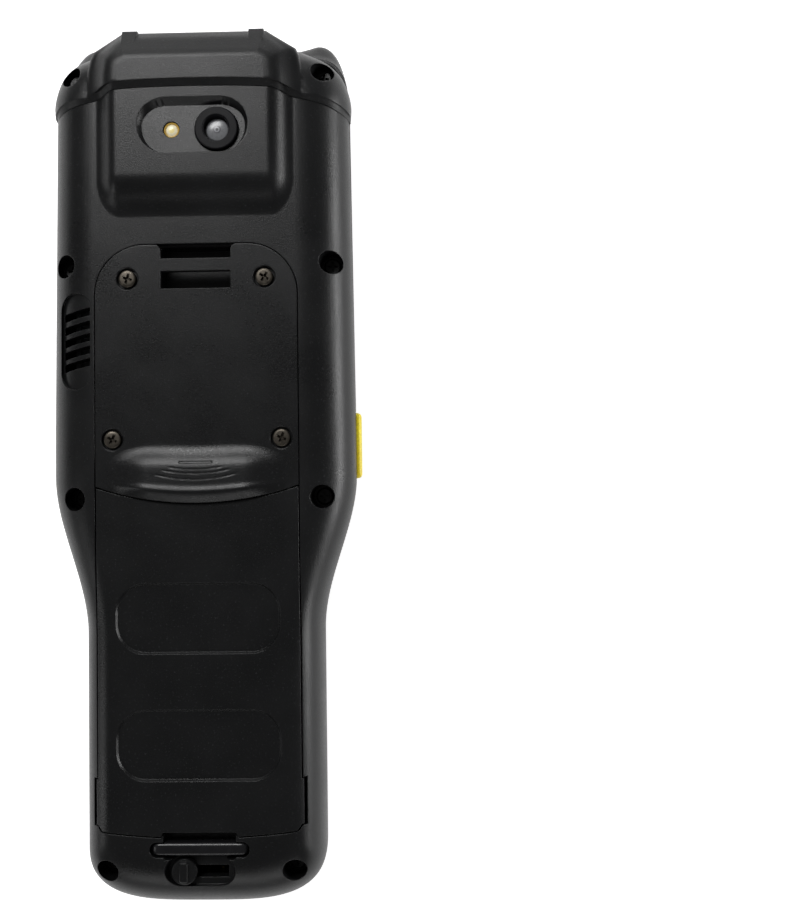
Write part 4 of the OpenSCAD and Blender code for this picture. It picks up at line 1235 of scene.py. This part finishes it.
class TERMINAL_OT_keys(bpy.types.Operator):
    """The keys: domed rubber caps with plain numbers and marks"""
    bl_idname = "terminal.keys"
    bl_label = "Keys"

    # Finish and slot of the keys that aren't plain
    special = {"key_scan": ("yellow", "yellow_plastic"), "key_power": ("red_key", "red_key")}

    # A cap's face: how much narrower it is, and its height over the lowest place
    dome = [(2.2, 0.06), (1.2, 0.09), (0.5, 0.2), (0.12, 0.45), (0, 0.9)]

    def execute(self, context):
        for name in key_names():
            self.key(name)
        return {"FINISHED"}

    def key(self, name):
        mid, w, h, face, root = key_sizes(name)
        r = key_radius(w, h)
        flange = 2 * KEY_FLANGE
        levels = [(-g, face + up) for g, up in self.dome]
        levels += [(0, root - 0.6), (flange, root - 0.6), (flange, root)]
        cap = loft([level(rounded(w + g, h + g, r + g / 2, mid), z) for g, z in levels], name + "_cap")
        shade(cap, 40)
        finish, slot = self.special.get(name, ("keys", "key_rubber"))
        dress(cap, FINISHES[finish], name, [name])
        mark = self.mark(name, mid, face)
        mark.name = mark.data.name = name + "_mark"
        mark.data.materials.clear()
        mark.data.materials.append(FINISHES["legend" if finish != "yellow" else "inner"])
        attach(mark, name)

    def mark(self, name, mid, face):
        """A number or a plain sign on the key's face, read from the display side."""
        span = (face, face + MARK_DEPTH)
        if name in ARROWS:
            return prism(self.arrow(mid, ARROWS[name]), *span)
        if name == "key_menu":
            bars = [self.dash(mid, 1.6, low, low + 0.4, span) for low in (-1.1, -0.2, 0.7)]
            return combine(bars[0], bars[1:], "UNION")
        if name in ("key_enter", "key_clear"):
            return self.dash(mid, 1.8, -0.25, 0.25, span)
        if name in ("key_home", "key_power", "key_scan"):
            outer, inner = 1.4, 1.0
            return turned(mid, [(outer, span[0]), (outer, span[1]), (inner, span[1]), (inner, span[0])],
                          n=40, closed=True)
        return self.digit(SIGNS.get(name, name[4:]), (*mid, face + MARK_DEPTH / 2))

    def arrow(self, mid, degrees):
        """A triangle; +X is on the left of the display side, so it is turned the other way round."""
        a = math.radians(degrees)
        return [(mid[0] - p * math.cos(a) + q * math.sin(a), mid[1] + p * math.sin(a) + q * math.cos(a))
                for p, q in ((1.5, 0), (-0.9, -1.3), (-0.9, 1.3))]

    def dash(self, mid, half, low, high, span):
        return block((mid[0] - half, mid[0] + half), (mid[1] + low, mid[1] + high), span)

    def digit(self, text, place):
        curve = bpy.data.curves.new("digit", "FONT")
        curve.body = text
        curve.size = MARK_SIZE * MM
        curve.extrude = MARK_DEPTH / 2 * MM
        curve.align_x = "CENTER"
        curve.align_y = "CENTER"
        curve.resolution_u = 4
        writing = bpy.data.objects.new("digit", curve)
        bpy.context.scene.collection.objects.link(writing)
        seen = writing.evaluated_get(bpy.context.evaluated_depsgraph_get())
        mesh = bpy.data.meshes.new_from_object(seen)
        bpy.data.objects.remove(writing)
        to_display_side = Matrix.Rotation(math.pi, 4, "Y")
        mesh.transform(Matrix.Translation(Vector(place) * MM) @ to_display_side)
        piece = bpy.data.objects.new("digit", mesh)
        bpy.context.scene.collection.objects.link(piece)
        return piece


class TERMINAL_OT_triggers(bpy.types.Operator):
    """The two yellow side triggers"""
    bl_idname = "terminal.triggers"
    bl_label = "Side triggers"

    # Distance from the middle line, and how much smaller the trigger is there
    levels = [(34.1, 0), (36.6, 0), (37.5, 0.25), (37.95, 0.8), (38.15, 1.8)]

    def execute(self, context):
        for side, name in ((1, "side_trigger_right"), (-1, "side_trigger_left")):
            rings = []
            for x, g in self.levels:
                rings.append([(side * x, TRIGGER_Y + p, TRIGGER_Z + q)
                              for p, q in rounded(16.4 - g, 5.3 - g, 1.5 - g * 0.4)])
            trigger = loft(rings, name + "_cap")
            flange = block(sorted((side * 32, side * 34.15)), (-6.05, 12.15), (6.1, 12.5))
            combine(trigger, [flange], "UNION")
            shade(trigger, 40)
            dress(trigger, FINISHES["yellow"], name, [name])
        return {"FINISHED"}


# Pieces that keep the shape of the solids, and their finishes
INNER_FINISHES = {
    "housing_gasket": "gasket", "scan_window": "window", "scan_engine": "cast",
    "camera_module": "gloss", "nfc_antenna": "copper", "housing_screws": "dark_screw",
    "cap_screws": "dark_screw", "speaker": "inner", "earpiece": "inner", "battery_pack": "label",
    "battery_contacts": "gold", "main_board": "board", "lcd_module": "frame",
    "touch_glass": "display", "keypad_mat": "mat", "keypad_board": "board",
    "charge_contacts": "gold", "trigger_switches": "switch"}


class TERMINAL_OT_inner_parts(bpy.types.Operator):
    """Finishes of the pieces that keep their own shape: glasses, boards, battery and screws"""
    bl_idname = "terminal.inner_parts"
    bl_label = "Glasses and inner parts"

    def execute(self, context):
        for name, finish in INNER_FINISHES.items():
            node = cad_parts[name]
            node.data.materials.clear()
            node.data.materials.append(FINISHES[finish])
        return {"FINISHED"}


# ---- stage ------------------------------------------------------------------------------------


class TERMINAL_OT_stage(bpy.types.Operator):
    """A plain white floor, soft lamps and the camera over the back"""
    bl_idname = "terminal.stage"
    bl_label = "Stage"

    def execute(self, context):
        stage = context.scene.terminal_stage
        half, z = 3000, -0.02
        floor = solid("floor", [(-half, -half, z), (half, -half, z), (half, half, z), (-half, half, z)],
                      [(0, 1, 2, 3)])
        floor.data.materials.append(self.paper())
        self.lamp("upper_lamp", (-0.25, 0.62, 0.85), (0.5, 0.3), stage.upper_power)
        self.lamp("side_lamp", (0.9, 0.07, 0.08), (0.7, 0.12), stage.side_power)
        self.lamp("left_lamp", (-0.8, -0.3, 0.48), (0.2, 0.5), stage.left_power)
        self.lamp("near_lamp", (0.0, -1.0, 0.5), (1.0, 0.3), stage.near_power)
        self.lamp("far_lamp", (-0.1, 1.1, 0.36), (1.2, 0.3), stage.far_power)
        self.surroundings(context, stage.sky)
        context.scene.view_settings.view_transform = "Standard"
        self.camera(context)
        return {"FINISHED"}

    def surroundings(self, context, sky):
        """White behind the floor's edge, and a weaker light on the object."""
        world = bpy.data.worlds.new("surroundings")
        world.use_nodes = True
        nodes, links = world.node_tree.nodes, world.node_tree.links
        seen = nodes.new("ShaderNodeLightPath")
        strength = nodes.new("ShaderNodeMapRange")
        strength.inputs["To Min"].default_value = sky
        strength.inputs["To Max"].default_value = 1.0
        links.new(seen.outputs["Is Camera Ray"], strength.inputs["Value"])
        nodes["Background"].inputs["Color"].default_value = (1, 1, 1, 1)
        links.new(strength.outputs["Result"], nodes["Background"].inputs["Strength"])
        context.scene.world = world

    def paper(self):
        """White paper for the camera, darker in reflections; it keeps its shadows."""
        g = Graph("white_paper")
        seen = g.add("LightPath")
        camera = g.ramp(seen.outputs["Is Camera Ray"], 0.0, 1.0, 0.0, 0.86)
        gloss = g.ramp(seen.outputs["Is Glossy Ray"], 0.0, 1.0, 0.0, 0.47)
        share = g.add("Math", {"operation": "ADD"})
        g.links.new(camera, share.inputs[0])
        g.links.new(gloss, share.inputs[1])
        glow = g.add("Emission", Color=(1, 1, 1, 1), Strength=share.outputs[0])
        both_shaders = g.add("AddShader")
        g.set(Base_Color=(0.82, 0.82, 0.82), Roughness=0.9)
        g.links.new(g.shader.outputs[0], both_shaders.inputs[0])
        g.links.new(glow.outputs[0], both_shaders.inputs[1])
        g.links.new(both_shaders.outputs[0], g.nodes["Material Output"].inputs["Surface"])
        return g.material

    def lamp(self, name, place, size, power):
        """A soft lamp that faces the terminal."""
        data = bpy.data.lights.new(name, "AREA")
        data.shape = "RECTANGLE"
        data.size, data.size_y = size
        data.energy = power
        lamp = bpy.data.objects.new(name, data)
        lamp.location = place
        lamp.rotation_euler = (-Vector(place)).to_track_quat("-Z", "Y").to_euler()
        bpy.context.scene.collection.objects.link(lamp)

    def camera(self, context):
        data = bpy.data.cameras.new("camera")
        data.lens = VIEW_LENS
        data.sensor_width = 36
        data.sensor_fit = "AUTO"
        data.clip_start = 0.01
        camera = bpy.data.objects.new("camera", data)
        camera.location = VIEW_FROM
        camera.rotation_euler = [math.radians(a) for a in VIEW_TURN]
        context.scene.collection.objects.link(camera)
        context.scene.camera = camera


OPERATORS = [
    TERMINAL_OT_rear_housing, TERMINAL_OT_front_housing, TERMINAL_OT_top_cap,
    TERMINAL_OT_cover_plate, TERMINAL_OT_battery_door, TERMINAL_OT_camera, TERMINAL_OT_screws,
    TERMINAL_OT_strap_and_lock, TERMINAL_OT_keys, TERMINAL_OT_triggers,
    TERMINAL_OT_inner_parts, TERMINAL_OT_stage]


class TERMINAL_PT_panel(bpy.types.Panel):
    """Buttons for each piece of the terminal"""
    bl_idname = "TERMINAL_PT_panel"
    bl_label = "Barcode data terminal"
    bl_space_type = "VIEW_3D"
    bl_region_type = "UI"
    bl_category = "Terminal"

    def draw(self, context):
        column = self.layout.column()
        for operator in OPERATORS:
            column.operator(operator.bl_idname)
        for group in ("terminal_colours", "terminal_sizes", "terminal_stage"):
            settings = getattr(context.scene, group)
            for key in settings.__annotations__:
                column.prop(settings, key)


SETTINGS = {"terminal_colours": TerminalColours, "terminal_sizes": TerminalSizes,
            "terminal_stage": TerminalStage}


def register():
    for item in list(SETTINGS.values()) + OPERATORS + [TERMINAL_PT_panel]:
        bpy.utils.register_class(item)
    for key, group in SETTINGS.items():
        setattr(bpy.types.Scene, key, bpy.props.PointerProperty(type=group))


def unregister():
    for key in SETTINGS:
        delattr(bpy.types.Scene, key)
    for item in [TERMINAL_PT_panel] + OPERATORS[::-1] + list(SETTINGS.values()):
        bpy.utils.unregister_class(item)


def main():
    """Builds the terminal and its stage."""
    register()
    make_finishes(bpy.context.scene.terminal_colours)
    for operator in OPERATORS:
        group, name = operator.bl_idname.split(".")
        getattr(getattr(bpy.ops, group), name)()


if __name__ == "__main__":
    main()
